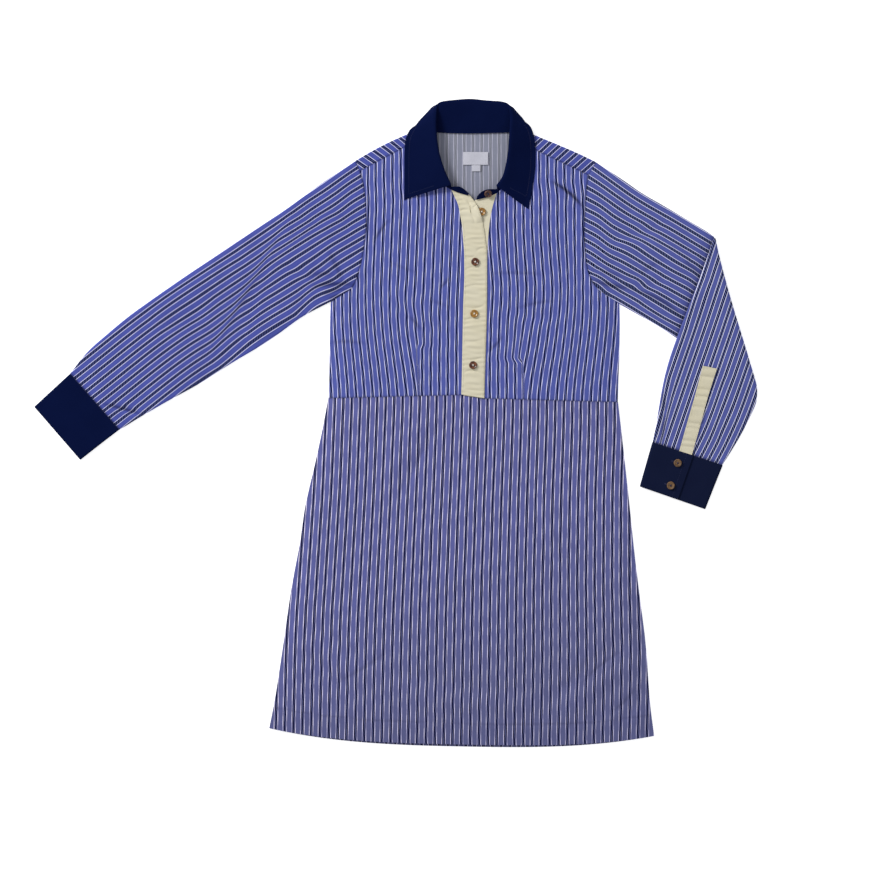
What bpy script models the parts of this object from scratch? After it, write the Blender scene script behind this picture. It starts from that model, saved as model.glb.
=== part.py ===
"""Shirt dress laid out flat, front up, with its left sleeve folded over at the elbow.

The tables are in millimetres from the waist point, where the centre front meets the waist seam.
+X is the wearer's left, +Y runs towards the collar and +Z is up from the surface under the dress.
Each piece of cloth is a wall round a middle surface, worked out from its sections and folds.
"""
import math
from collections import namedtuple

import bmesh
import bpy
import numpy as np

MM = 0.001
WAIST_POINT = (109.8, 34.85)     # from the middle of the whole outline

# Cloth and the way it lies
CLOTH = 1.0                      # wall of the striped cotton
BAND = 1.2                       # wall of collar and cuffs, two layers with a stiffener
CLEAR = 0.3                      # between two pieces
FLOOR_LAYER = CLOTH / 2
FRONT_LAYER = 1.5 * CLOTH + CLEAR
LOFT = 1.6                       # air under the front
LEAST_LOFT = 0.4                 # where a trough comes down on the back
TROUGH_EASE = 0.8                # depth over which a trough flattens out there
SIDE_DROP = 22.0                 # width over which the front comes down to a side seam
SLEEVE_EDGE = 2.0                # round of a sleeve's long edges
CUFF_EDGE = 1.4                  # round of a cuff's folded ends
CUFF_LOFT = 2.9                  # from the lower to the upper layer of the flat cuff
LEFT_OUT = 1                     # marks faces that only lend their slope to the strips beside them
EDGE_STEPS = (0.0, 0.25, 1.0)    # places within a rounded edge
UNDERARM_CLEAR = 1.0             # from the bodice to the middle of the sleeve's edge
UNDERARM_EDGE = 4.5              # the same round along the armhole, which meets the edge at a slant
INNER_REACH = 0.84               # part of the width that the places between them spread over
OVERLAP_EDGE = 8.0               # round of the elbow fold, four layers thick
STEP = 3.9                       # rise of the forearm over the upper sleeve
STEP_RUN = 30.0                  # way over which it comes back down
PRESSED = 0.8                    # loft of the upper sleeve under the forearm

Point = namedtuple("Point", "x y")
Row = namedtuple("Row", "left_x left_y right_x right_y")
Fold = namedtuple("Fold", "x0 y0 x1 y1 bow width height")
Neck = namedtuple("Neck", "neck_x neck_y neck_z roll_x roll_y roll_z "
                          "fold_x fold_y fold_z edge_x edge_y edge_z")
Band = namedtuple("Band", "neck_x neck_y neck_z top_x top_y top_z")
Tag = namedtuple("Tag", "name left right top bottom")
Button = namedtuple("Button", "name x y seat lean", defaults=[0.0])

# Armholes from the shoulder to the underarm; the second point ends the forward yoke seam
ARMHOLE_RIGHT = [
    Point(-166.6, 337.3), Point(-160.5, 323.1), Point(-155.3, 302.5), Point(-151.9, 273.4),
    Point(-151.2, 249.2), Point(-153.4, 225.1), Point(-158.6, 193.8), Point(-167.0, 166.0),
    Point(-174.0, 155.0), Point(-184.0, 148.6), Point(-201.6, 137.7),
]
ARMHOLE_LEFT = [
    Point(173.9, 335.8), Point(163.7, 317.4), Point(161.0, 296.1), Point(159.3, 273.4),
    Point(157.9, 242.1), Point(158.9, 213.1), Point(162.3, 185.3), Point(169.8, 165.4),
    Point(179.6, 153.4), Point(190.6, 146.0), Point(207.6, 134.4),
]
BACK_YOKE_POINT = 3              # armhole point where the back yoke seam ends

# Side seams under the armholes, down to the waist
SIDE_RIGHT = [Point(-203.0, 104.4), Point(-203.5, 66.0), Point(-204.1, 32.0), Point(-205.0, 0.4)]
SIDE_LEFT = [Point(208.4, 104.4), Point(207.8, 68.9), Point(206.5, 29.1), Point(205.5, -5.2)]

# Inner edges of the two fronts: neckline, then centre front
INNER_RIGHT = [
    Point(-69.6, 371.3), Point(-68.9, 352.9), Point(-62.5, 331.6), Point(-47.6, 310.3),
    Point(-27.7, 294.7), Point(-16.6, 264.8), Point(-11.1, 228.0), Point(-9.9, 199.0), Point(-9.9, 176.0),
    Point(-10.5, 150.0), Point(-11.2, 111.5), Point(-12.2, 68.9), Point(-13.1, 32.0), Point(-13.9, 5.0),
]
INNER_LEFT = [
    Point(68.2, 362.8), Point(69.6, 344.3), Point(65.3, 325.9), Point(53.3, 308.1), Point(33.4, 291.1),
    Point(26.7, 267.7), Point(22.7, 242.1), Point(20.7, 215.1), Point(20.2, 185.3), Point(20.2, 161.2),
    Point(19.9, 122.8), Point(18.7, 80.2), Point(17.3, 37.6), Point(16.2, 0.1),
]
CENTRE_START = 4                 # point of an inner edge where the neckline ends
FRONT_COLUMNS = [0.0, 0.06, 0.14, 0.24, 0.35, 0.46, 0.57, 0.68, 0.79, 0.9, 1.0]

WAIST_SEAM = [Point(-205.2, -0.1), Point(-16.5, 4.7), Point(15.9, -0.3), Point(205.7, -6.4)]

# Skirt sections from waist to hem: side seam points; the hem also bows down in the middle
SKIRT = [
    Row(-205.5, -0.6, 205.9, -6.9), Row(-214.7, -49.0, 210.9, -49.0), Row(-224.4, -93.0, 215.8, -93.0),
    Row(-239.1, -158.3, 222.9, -158.3), Row(-245.1, -200.9, 227.2, -200.9),
    Row(-258.4, -273.3, 235.7, -273.3), Row(-270.1, -354.3, 245.7, -354.3),
    Row(-282.0, -431.0, 251.2, -431.0), Row(-289.4, -468.2, 257.3, -479.2),
]
SKIRT_ROWS = 25
EDGE_ROWS = 5                    # rows that follow the waist seam or the hem
WAIST_CLEAR = 0.5                # skirt front under the waist seam
FRONT_HEM_BOW = 17.4
BACK_HEM_BOW = 20.4

# Placket on the right front, neck to waist, and the hidden edge of the placket under it
PLACKET_TOP = [
    Row(-31.1, 297.2, -4.5, 288.5), Row(-26.7, 287.6, 2.1, 279.7), Row(-20.7, 273.3, 7.5, 270.1),
    Row(-18.0, 259.1, 12.1, 257.0), Row(-15.3, 243.0, 15.3, 240.7), Row(-13.9, 223.6, 17.8, 222.2),
    Row(-12.5, 203.8, 19.3, 202.3), Row(-12.4, 175.4, 19.5, 175.4), Row(-13.9, 132.8, 19.2, 132.8),
    Row(-14.8, 88.8, 18.0, 88.8), Row(-15.6, 45.4, 16.5, 45.4), Row(-16.6, 5.9, 15.6, 0.6),
]
UNDER_LEFT_EDGE = [
    Point(2.8, 281.6), Point(-5.5, 264.0), Point(-8.7, 239.0), Point(-9.2, 215.1), Point(-8.9, 185.3),
    Point(-9.2, 161.2), Point(-10.2, 122.8), Point(-11.2, 80.2), Point(-12.2, 37.6), Point(-13.0, 4.2),
]

# Yoke: shoulder fold and back neckline from the right armhole to the left one, and the forward seams
SHOULDER_RIGHT = [Point(-166.6, 337.3), Point(-144.1, 350.6), Point(-115.6, 365.2), Point(-92.7, 375.3),
                  Point(-71.0, 384.8)]
BACK_NECK = [Point(-52.5, 379.8), Point(-28.4, 378.6), Point(-2.8, 378.2), Point(24.1, 378.6),
             Point(49.7, 379.8)]
SHOULDER_LEFT = [Point(68.2, 382.9), Point(86.6, 374.2), Point(122.0, 359.5), Point(150.0, 347.3),
                 Point(173.9, 335.8)]
YOKE_SEAM_RIGHT = [Point(-160.5, 323.1), Point(-71.0, 370.7)]
YOKE_SEAM_LEFT = [Point(68.2, 362.8), Point(163.7, 317.4)]
YOKE_TURNS = 5                   # places round the shoulder fold
YOKE_PARTS = (0.35, 0.7, 1.0)    # places from there to the forward seam

# Sleeves: top fold and underarm seam at each section, from the armhole to the cuff
SLEEVE_RIGHT = [
    Row(-166.6, 337.3, -201.6, 137.7), Row(-210.2, 308.8, -241.4, 115.0), Row(-268.1, 265.4, -291.1, 80.2),
    Row(-330.9, 224.4, -340.8, 50.4), Row(-387.7, 187.4, -387.7, 20.6), Row(-456.5, 139.9, -434.5, -4.3),
    Row(-490.5, 115.2, -461.5, -19.9), Row(-518.2, 92.2, -477.1, -29.1), Row(-547.4, 66.0, -490.6, -37.6),
    Row(-571.4, 35.8, -501.6, -43.6),
]
CUFF_RIGHT = [
    Row(-571.8, 35.4, -502.0, -44.1), Row(-597.5, 11.8, -529.9, -65.6), Row(-623.0, -11.8, -557.5, -87.3),
]
UPPER_LEFT = [
    Row(173.9, 335.8, 207.6, 134.4), Row(211.6, 309.6, 231.5, 120.7), Row(239.4, 289.3, 254.2, 107.9),
    Row(268.4, 272.5, 272.6, 96.6), Row(286.6, 262.0, 289.0, 85.9), Row(308.1, 249.2, 329.4, 61.1),
    Row(331.6, 235.4, 389.2, 24.6),
]
FOREARM_LEFT = [
    Row(340.1, 222.2, 345.3, 221.5), Row(333.7, 203.8, 350.5, 201.6), Row(320.9, 168.3, 359.8, 166.8),
    Row(305.3, 128.5, 370.6, 128.5), Row(289.7, 87.3, 382.3, 88.8), Row(278.3, 53.8, 392.3, 54.7),
    Row(271.1, 26.3, 403.4, 12.9), Row(267.0, 5.0, 402.3, -2.1), Row(263.4, -16.3, 392.6, -24.8),
    Row(259.1, -41.9, 377.7, -53.2), Row(255.4, -61.3, 354.3, -93.6),
]
FOLD_SECTIONS = 6                # forearm sections whose right edge is the elbow fold
CUFF_LEFT = [
    Row(255.1, -62.0, 354.1, -94.5), Row(246.1, -93.6, 341.5, -125.8), Row(237.1, -125.2, 329.2, -157.1),
]
CUFF_LOW = BAND / 2              # the cuff's three layers under and over each other
CUFF_MIDDLE = 2.5 * BAND + CLEAR + 0.4
CUFF_HIGH = 3.5 * BAND + 2 * CLEAR + 0.5
CUFF_PATH = [                    # part of the width and height, from the end under the lap round to the lap
    (0.30, CUFF_MIDDLE), (0.55, CUFF_MIDDLE), (0.80, CUFF_MIDDLE), (0.96, CUFF_MIDDLE),
    (0.99, CUFF_MIDDLE - 0.5), (1.0, (CUFF_MIDDLE + CUFF_LOW) / 2), (0.99, CUFF_LOW + 0.4),
    (0.96, CUFF_LOW), (0.75, CUFF_LOW), (0.50, CUFF_LOW), (0.25, CUFF_LOW), (0.04, CUFF_LOW),
    (0.012, CUFF_LOW + 0.6), (0.0, (CUFF_HIGH + CUFF_LOW) / 2), (0.012, CUFF_HIGH - 0.6),
    (0.04, CUFF_HIGH), (0.20, CUFF_HIGH), (0.40, CUFF_HIGH), (0.58, CUFF_HIGH),
]
SLEEVE_PLACKET = [
    Row(326.0, 46.4, 346.1, 42.3), Row(315.2, 5.0, 333.0, 0.7), Row(304.6, -31.9, 323.1, -36.2),
    Row(293.6, -71.2, 311.5, -75.4),
]

# Collar, from the front of the right fall round the back to the left one. Neck is the seam, roll the
# top, fold the place where the fall turns on the shoulder or under the back, edge its outer edge.
COLLAR = [
    Neck(-30.2, 296.2, 6.6, -31.2, 303.5, 12.4, -93.0, 283.6, 0.0, -97.6, 281.2, 0.0),
    Neck(-46.9, 306.4, 0.0, -38.3, 318.1, 12.8, -93.4, 300.9, 0.0, -97.6, 300.8, 0.0),
    Neck(-61.8, 323.8, 0.0, -45.2, 337.2, 12.5, -93.3, 324.5, 0.0, -97.6, 324.3, 0.0),
    Neck(-69.6, 340.5, 0.0, -49.1, 353.6, 13.0, -93.2, 347.2, 0.0, -97.4, 347.2, 0.0),
    Neck(-70.7, 358.5, 0.0, -51.4, 369.9, 13.0, -92.0, 364.2, 6.0, -96.1, 364.9, 6.0),
    Neck(-67.9, 372.0, 5.0, -52.5, 386.9, 12.5, -86.9, 378.4, 5.8, -90.5, 380.1, 4.8),
    Neck(-62.2, 377.0, 2.6, -52.5, 402.6, 11.5, -77.8, 391.8, 3.6, -73.1, 393.2, 1.6),
    Neck(-56.8, 377.7, 2.0, -52.0, 413.1, 9.4, -65.0, 405.7, 2.8, -59.6, 402.6, 0.8),
    Neck(-51.1, 377.6, 1.9, -49.1, 418.5, 7.4, -54.5, 415.1, 2.4, -49.7, 405.4, 0.65),
    Neck(-44.7, 377.3, 1.9, -42.6, 421.2, 6.4, -43.5, 416.8, 2.2, -41.2, 396.9, 0.6),
    Neck(-25.6, 376.7, 1.9, -25.6, 423.3, 5.8, -25.6, 418.2, 2.2, -25.6, 389.8, 0.6),
    Neck(-2.8, 376.3, 1.9, -4.3, 424.7, 5.8, -4.3, 419.6, 2.2, -4.3, 386.9, 0.6),
    Neck(21.3, 376.7, 1.9, 18.5, 422.6, 5.8, 18.5, 417.5, 2.2, 18.5, 389.8, 0.6),
    Neck(41.2, 377.3, 1.9, 39.8, 421.0, 6.4, 40.5, 416.1, 2.2, 38.3, 396.9, 0.6),
    Neck(48.3, 377.6, 1.9, 48.8, 418.2, 7.4, 54.5, 413.9, 2.4, 49.0, 405.4, 0.65),
    Neck(54.0, 377.7, 2.0, 53.0, 411.7, 9.4, 61.9, 406.3, 2.8, 57.5, 402.6, 0.8),
    Neck(59.6, 377.0, 2.6, 53.4, 401.1, 11.5, 71.0, 396.3, 3.6, 68.2, 396.0, 1.6),
    Neck(65.3, 372.0, 5.0, 52.8, 386.9, 12.5, 78.5, 383.0, 5.8, 81.6, 385.8, 4.8),
    Neck(69.6, 358.5, 0.0, 51.5, 369.9, 13.0, 83.1, 367.8, 6.0, 87.2, 368.8, 6.0),
    Neck(70.3, 340.5, 0.0, 50.1, 351.4, 13.0, 84.6, 350.0, 0.0, 88.8, 350.0, 0.0),
    Neck(63.2, 322.3, 0.0, 47.3, 333.7, 12.5, 84.3, 331.6, 0.0, 88.5, 331.6, 0.0),
    Neck(48.3, 305.3, 0.0, 42.6, 315.9, 12.8, 81.8, 308.8, 0.0, 86.1, 308.8, 0.0),
    Neck(34.2, 292.0, 6.2, 33.0, 301.5, 12.4, 74.7, 271.4, 0.0, 78.8, 268.7, 0.0),
]
STAND_END_RIGHT = [              # the stand past the fall, lying on the top placket
    Band(-20.9, 292.4, 6.5, -20.6, 300.4, 11.6), Band(-13.5, 290.2, 6.4, -12.4, 296.4, 10.2),
    Band(-7.0, 288.2, 6.3, -5.8, 290.8, 7.6),
]
STAND_END_LEFT = [               # the rounded end with the button, over the under placket
    Band(22.5, 286.6, 5.7, 21.4, 296.4, 11.6), Band(10.5, 283.4, 5.3, 11.4, 292.4, 10.0),
    Band(4.6, 282.2, 5.1, 6.0, 286.8, 7.6),
]
ROLL_RADIUS = 1.8
COLLAR_GAP = 0.6                 # between stand and fall, square to their seam
COLLAR_STATIONS = 45
STAND_PART = 0.55                # height of the stand within the way from the neck to the roll

# Folds and creases of the top cloth; a height below zero is a trough
FOLDS = [
    Fold(-40.0, -30.0, -107.0, -151.0, -6.0, 8.0, -1.5),
    Fold(-62.0, -22.0, -128.0, -140.0, -8.0, 14.0, 1.3),
    Fold(79.0, -92.0, 148.0, -298.0, -16.0, 8.0, -1.5),
    Fold(96.0, -100.0, 172.0, -270.0, -16.0, 14.0, 1.2),
    Fold(-118.0, -232.0, 46.0, -136.0, 6.0, 20.0, 1.3),
    Fold(-96.0, -290.0, 70.0, -232.0, 8.0, 18.0, 1.2),
    Fold(-246.0, -314.0, -143.0, -382.0, 4.0, 8.0, -1.6),
    Fold(-262.0, -354.0, -152.0, -435.0, 4.0, 8.0, -1.6),
    Fold(-240.0, -345.0, -150.0, -410.0, 4.0, 10.0, 1.4),
    Fold(226.0, -343.0, 106.0, -438.0, -8.0, 9.0, -1.9),
    Fold(240.0, -372.0, 130.0, -452.0, -8.0, 13.0, 1.8),
    Fold(246.0, -414.0, 205.0, -466.0, 2.0, 8.0, -1.4),
    Fold(-153.0, -379.0, 124.0, -418.0, -10.0, 12.0, -1.2),
    Fold(-132.0, -414.0, 95.0, -436.0, -8.0, 16.0, 1.6),
    Fold(-126.0, 151.0, -45.0, 88.0, -4.0, 7.0, -1.3),
    Fold(-120.0, 168.0, -34.0, 112.0, -4.0, 12.0, 1.0),
    Fold(38.0, 140.0, 124.0, 118.0, -12.0, 8.0, -1.1),
    Fold(36.0, 218.0, 70.0, 110.0, 14.0, 11.0, 1.0),
    Fold(115.0, 306.0, 149.0, 272.0, 3.0, 6.0, -1.0),
    Fold(-196.0, 140.0, -143.0, 193.0, 4.0, 9.0, 1.2),
    Fold(-182.0, 164.0, -267.0, 194.0, 8.0, 9.0, -1.3),
    Fold(-291.0, 194.0, -322.0, 83.0, -6.0, 10.0, -1.2),
    Fold(-322.0, 83.0, -402.0, 9.0, 4.0, 10.0, -1.2),
    Fold(-246.0, 140.0, -366.0, 66.0, 6.0, 14.0, 1.3),
    Fold(-331.0, 194.0, -459.0, 111.0, -6.0, 15.0, 1.4),
    Fold(-366.0, 140.0, -444.0, 97.0, 4.0, 9.0, -1.1),
    Fold(-513.0, -12.0, -470.0, -22.0, 1.0, 5.0, -1.2),
    Fold(206.0, 225.0, 308.0, 194.0, 5.0, 13.0, 1.8),
    Fold(197.0, 228.0, 277.0, 251.0, -5.0, 8.0, -1.2),
    Fold(202.0, 157.0, 277.0, 168.0, -6.0, 8.0, -1.4),
    Fold(237.0, 140.0, 297.0, 109.0, -4.0, 8.0, -1.4),
    Fold(270.0, 16.0, 268.0, -58.0, 0.0, 5.0, -1.1),
    Fold(300.0, 100.0, 338.0, 165.0, 4.0, 12.0, 1.0),
    Fold(362.0, 30.0, 352.0, -62.0, -4.0, 12.0, 1.0),
]
LAP_BULGE = Fold(8.0, 280.0, 12.0, 250.0, 0.0, 11.0, 3.1)    # of the open placket over the button below

TAGS = [Tag("label", -14.2, 21.3, 350.0, 331.8), Tag("size_tab", -1.8, 10.5, 331.3, 322.6)]

BUTTON_RADIUS = 5.7
BUTTON_SIDES = 14
BUTTON_PROFILE = [               # radius and height, from the middle of the underside to that of the dish
    (0.0, 0.0), (4.5, 0.0), (BUTTON_RADIUS, 0.8), (BUTTON_RADIUS, 1.5),
    (4.9, 2.3), (3.8, 2.2), (2.9, 1.5), (0.0, 1.4),
]
BUTTONS = [                      # seat: the piece that carries the button
    Button("button_stand", 21.6, 290.8, "stand", 31.0), Button("button_under", 12.4, 265.1, "under placket"),
    Button("button_front_1", 3.1, 194.0, "placket"), Button("button_front_2", 1.8, 120.4, "placket"),
    Button("button_front_3", 0.1, 47.3, "placket"), Button("button_cuff_1", 290.5, -91.6, "cuff"),
    Button("button_cuff_2", 280.6, -123.5, "cuff"),
]
STAND_SEAT = 9.3                 # height of the stand's left end under the middle of its button

COLOURS = {
    "stripe": (0.075, 0.09, 0.38, 1.0), "navy": (0.006, 0.012, 0.05, 1.0), "cream": (0.63, 0.58, 0.42, 1.0),
    "label": (0.70, 0.70, 0.78, 1.0), "button": (0.14, 0.06, 0.02, 1.0),
}
ROUGHNESS = {"stripe": 0.85, "navy": 0.85, "cream": 0.85, "label": 0.6, "button": 0.35}


def clear_scene():
    """Remove every object that the file opened with."""
    for item in list(bpy.data.objects):
        bpy.data.objects.remove(item, do_unlink=True)


def material(kind):
    """The material of one kind of cloth or of the buttons, made once."""
    found = bpy.data.materials.get(kind)
    if found:
        return found
    made = bpy.data.materials.new(kind)
    made.use_nodes = True
    shader = made.node_tree.nodes["Principled BSDF"]
    shader.inputs["Base Color"].default_value = COLOURS[kind]
    shader.inputs["Roughness"].default_value = ROUGHNESS[kind]
    shader.inputs["Metallic"].default_value = 0.0
    return made


def add_object(name, bm, kind):
    """Turn a bmesh in millimetres into a named object that lies where the waist point puts it."""
    mesh = bpy.data.meshes.new(name)
    bm.to_mesh(mesh)
    bm.free()
    mesh.shade_smooth()
    mesh.set_sharp_from_angle(angle=math.radians(40))
    mesh.materials.append(material(kind))
    item = bpy.data.objects.new(name, mesh)
    item.location = (WAIST_POINT[0] * MM, WAIST_POINT[1] * MM, 0.0)
    bpy.context.collection.objects.link(item)
    return item


def ease(value):
    """Smooth step from 0 to 1 as the value goes from 0 to 1."""
    value = np.clip(value, 0.0, 1.0)
    return value * value * (3.0 - 2.0 * value)


def even(table, count):
    """Rows at even steps through a table, on a cubic that keeps to each pair of neighbouring rows."""
    data = np.array([tuple(row) for row in table], dtype=float)
    if len(data) < 3:
        return np.array([data[0] + (data[-1] - data[0]) * t for t in np.linspace(0.0, 1.0, count)])
    change = np.diff(data, axis=0)
    slope = np.zeros_like(data)
    together = change[:-1] * change[1:] > 0
    slope[1:-1][together] = (2 * change[:-1] * change[1:])[together] / (change[:-1] + change[1:])[together]
    slope[0], slope[-1] = change[0], change[-1]
    result = []
    for at in np.linspace(0.0, len(data) - 1.0, count):
        k = min(int(at), len(data) - 2)
        t = at - k
        result.append((1 + 2 * t) * (1 - t) ** 2 * data[k] + t * (1 - t) ** 2 * slope[k]
                      + t * t * (3 - 2 * t) * data[k + 1] + t * t * (t - 1) * slope[k + 1])
    return np.array(result)


def fold_height(x, y, fold):
    """Height that one fold adds: a soft ridge along a bowed line, fading at both ends."""
    along = np.array([fold.x1 - fold.x0, fold.y1 - fold.y0])
    length = math.hypot(*along)
    unit = along / length
    t = ((x - fold.x0) * unit[0] + (y - fold.y0) * unit[1]) / length
    inside = np.clip(t, 0.0, 1.0)
    bow = 4.0 * fold.bow * inside * (1.0 - inside)
    across = (y - fold.y0) * unit[0] - (x - fold.x0) * unit[1] - bow
    return fold.height * np.exp(-(across / fold.width) ** 2) * np.sin(math.pi * inside) ** 0.7


def lift(x, y):
    """Loft and folds of the top cloth over its lowest lie."""
    total = LOFT + sum(fold_height(x, y, fold) for fold in FOLDS)
    return np.where(total > LEAST_LOFT, total, LEAST_LOFT * np.exp((total - LEAST_LOFT) / TROUGH_EASE))


def front_height(x, y):
    """Middle of the top cloth away from its edges."""
    return FRONT_LAYER + lift(x, y)


def on_front(x, y, thickness):
    """Middle of a piece of this thickness that lies on the top cloth."""
    return front_height(x, y) + CLOTH / 2 + CLEAR + thickness / 2


def side_distance(x, y, start, end):
    """Distance from the line between two points, more than 0 to its right."""
    length = math.hypot(end[0] - start[0], end[1] - start[1])
    return ((x - start[0]) * (end[1] - start[1]) - (y - start[1]) * (end[0] - start[0])) / length


def wall(name, grids, kind, thickness=CLOTH, strips=None):
    """Close a wall round a middle surface, given as grids of points that share their borders.

    With strips, only that range of the grids' strips is built, leaning as the whole surface does.
    """
    middle = bmesh.new()
    for grid in grids:
        verts = [[middle.verts.new(point) for point in line] for line in grid]
        for i in range(len(verts) - 1):
            for j in range(len(verts[0]) - 1):
                face = middle.faces.new((verts[i][j], verts[i][j + 1], verts[i + 1][j + 1], verts[i + 1][j]))
                face.material_index = 0 if strips is None or j in strips else LEFT_OUT
    bmesh.ops.remove_doubles(middle, verts=middle.verts, dist=0.001)
    middle.normal_update()
    normals = {vert: vert.normal.copy() for vert in middle.verts}
    others = [face for face in middle.faces if face.material_index == LEFT_OUT]
    bmesh.ops.delete(middle, geom=others, context="FACES")
    shell = bmesh.new()
    outer = {}
    inner = {}
    for vert in middle.verts:
        away = normals[vert] * thickness / 2
        for side, place in ((outer, vert.co + away), (inner, vert.co - away)):
            place.z = max(place.z, 0.0)
            side[vert] = shell.verts.new(place * MM)
    for face in middle.faces:
        shell.faces.new([outer[vert] for vert in face.verts])
        shell.faces.new([inner[vert] for vert in reversed(face.verts)])
    for edge in middle.edges:
        if edge.is_boundary:
            loop = edge.link_loops[0]
            start, end = loop.vert, loop.link_loop_next.vert
            shell.faces.new((outer[end], outer[start], inner[start], inner[end]))
    middle.free()
    return add_object(name, shell, kind)


def flat_panel(left, right, columns, height):
    """Grid of points between two edges, at heights given by x, y and the distances from both edges."""
    grid = []
    for start, end in zip(left, right):
        width = math.hypot(end[0] - start[0], end[1] - start[1])
        line = []
        for across in columns:
            x = start[0] + (end[0] - start[0]) * across
            y = start[1] + (end[1] - start[1]) * across
            line.append((x, y, float(height(x, y, across * width, (1.0 - across) * width))))
        grid.append(line)
    return grid


def floor_height(x, y, from_left, from_right):
    """Height of a back panel's middle, flat on the surface."""
    return FLOOR_LAYER


def bowed(grid, columns, depth, power, rows):
    """A panel with its hem bowed down in the middle, the bow fading out over some rows above it."""
    bow = depth * (1.0 - abs(2.0 * np.array(columns) - 1.0) ** power)
    for i in range(rows):
        grid[-1 - i, :, 1] -= bow * (1.0 - i / rows)
    return grid


def parted(points, distance, at_end=None):
    """A line of points moved sideways, to the left of its direction, with its last point moved by at_end."""
    points = np.array([tuple(p) for p in points], dtype=float)
    along = np.gradient(points, axis=0)
    unit = along / np.linalg.norm(along, axis=1)[:, None]
    away = np.full((len(points), 1), distance)
    if at_end is not None:
        away[-1] = at_end
    return points + np.column_stack((-unit[:, 1], unit[:, 0])) * away


def make_bodice_fronts():
    """Two fronts, from the forward yoke seam and neckline to the waist."""
    def height(x, y, from_side, underarm):
        below = ease((underarm + SIDE_DROP - y) / (2.0 * SIDE_DROP))
        return FRONT_LAYER + lift(x, y) * (1.0 - below * (1.0 - ease(from_side / SIDE_DROP)))

    def right_height(x, y, from_left, from_right):
        return height(x, y, from_left, ARMHOLE_RIGHT[-1].y)

    def left_height(x, y, from_left, from_right):
        return height(x, y, from_right, ARMHOLE_LEFT[-1].y)

    grid = flat_panel(ARMHOLE_RIGHT[1:] + SIDE_RIGHT, INNER_RIGHT, FRONT_COLUMNS, right_height)
    wall("bodice_front_right", [grid[::-1]], "stripe")
    mirrored = [1.0 - part for part in FRONT_COLUMNS[::-1]]
    grid = flat_panel(INNER_LEFT, ARMHOLE_LEFT[1:] + SIDE_LEFT, mirrored, left_height)
    wall("bodice_front_left", [grid[::-1]], "stripe")


def make_backs():
    """Bodice back and skirt back, flat on the surface."""
    left = ARMHOLE_RIGHT[BACK_YOKE_POINT:] + SIDE_RIGHT
    right = ARMHOLE_LEFT[BACK_YOKE_POINT:] + SIDE_LEFT
    wall("bodice_back", [flat_panel(left, right, np.linspace(0.0, 1.0, 5), floor_height)[::-1]], "stripe")
    rows = even(SKIRT, 9)
    columns = np.linspace(0.0, 1.0, 13)
    grid = np.array(flat_panel(rows[:, :2], rows[:, 2:], columns, floor_height))
    wall("skirt_back", [bowed(grid, columns, BACK_HEM_BOW, 2.8, 1)[::-1]], "stripe")


def make_skirt_front():
    """A-line front, hung from the waist seam, its sides coming down to the side seams."""
    rows = even(SKIRT, SKIRT_ROWS)
    width = rows[0, 2] - rows[0, 0]
    placket = [(point.x - rows[0, 0]) / width for point in WAIST_SEAM[1:3]]
    middle = [part for part in np.linspace(0.1, 0.9, 17) if min(abs(part - p) for p in placket) > 0.02]
    columns = sorted([0.0, 0.022, 0.05, 0.95, 0.978, 1.0] + placket + middle)
    grid = np.array(flat_panel(rows[:, :2], rows[:, 2:], columns, floor_height))
    waist = np.array([tuple(point) for point in WAIST_SEAM])
    sag = np.interp(grid[0, :, 0], waist[:, 0], waist[:, 1]) - WAIST_CLEAR - grid[0, :, 1]
    for i in range(EDGE_ROWS):
        grid[i, :, 1] += sag * (1.0 - i / EDGE_ROWS)
    bowed(grid, columns, FRONT_HEM_BOW, 3.0, EDGE_ROWS)
    for line in grid:
        for point in line:
            side = ease((point[0] - line[0][0]) / SIDE_DROP) * ease((line[-1][0] - point[0]) / SIDE_DROP)
            point[2] = FRONT_LAYER + lift(point[0], point[1]) * side
    wall("skirt_front", [grid[::-1]], "stripe")


def make_plackets():
    """The band on the right front and the one under it."""
    def top_height(x, y, from_left, from_right):
        return on_front(x, y, CLOTH) + fold_height(x, y, LAP_BULGE)

    def under_height(x, y, from_left, from_right):
        return front_height(x, y)

    rows = even(PLACKET_TOP, 23)
    grid = flat_panel(rows[:, :2], rows[:, 2:], [0.0, 0.33, 0.67, 1.0], top_height)
    wall("placket_top", [grid[::-1]], "cream")
    right = parted(INNER_LEFT[CENTRE_START:], -CLEAR)
    right[-1, 1] += CLEAR
    grid = flat_panel(UNDER_LEFT_EDGE, right, [0.0, 0.5, 1.0], under_height)
    wall("placket_under", [grid[::-1]], "cream")


def shoulder_normal(i):
    """Unit direction out of the outline at a shoulder: away from the body on its own side."""
    shoulder = SHOULDER_RIGHT if i < len(SHOULDER_RIGHT) + len(BACK_NECK) / 2 else SHOULDER_LEFT
    along = np.array(shoulder[-1]) - np.array(shoulder[0])
    along = along / np.linalg.norm(along)
    return np.array([-along[1], along[0]])


def back_yoke(top, folded, radius):
    """Grid of the yoke's flat part, from the back seam up to the shoulder folds and the neckline."""
    right = ARMHOLE_RIGHT[BACK_YOKE_POINT::-1]
    left = ARMHOLE_LEFT[BACK_YOKE_POINT::-1]
    seam_y = right[0].y + CLEAR
    last = len(top) - 1
    grid = []
    for j, point in enumerate(right):
        level = (point.y - right[0].y) / (right[-1].y - right[0].y)
        line = []
        for i, crest in enumerate(top):
            start = np.array([right[0].x + (left[0].x - right[0].x) * i / last, seam_y])
            end = np.array(crest)
            if i in folded:
                end = end - radius * shoulder_normal(i)
            place = start + (end - start) * level
            if 0 < j < len(right) - 1 and i in (0, last):
                place = np.array(point if i == 0 else left[j])
            line.append((place[0], place[1], FLOOR_LAYER))
        grid.append(line)
    return grid


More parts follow.
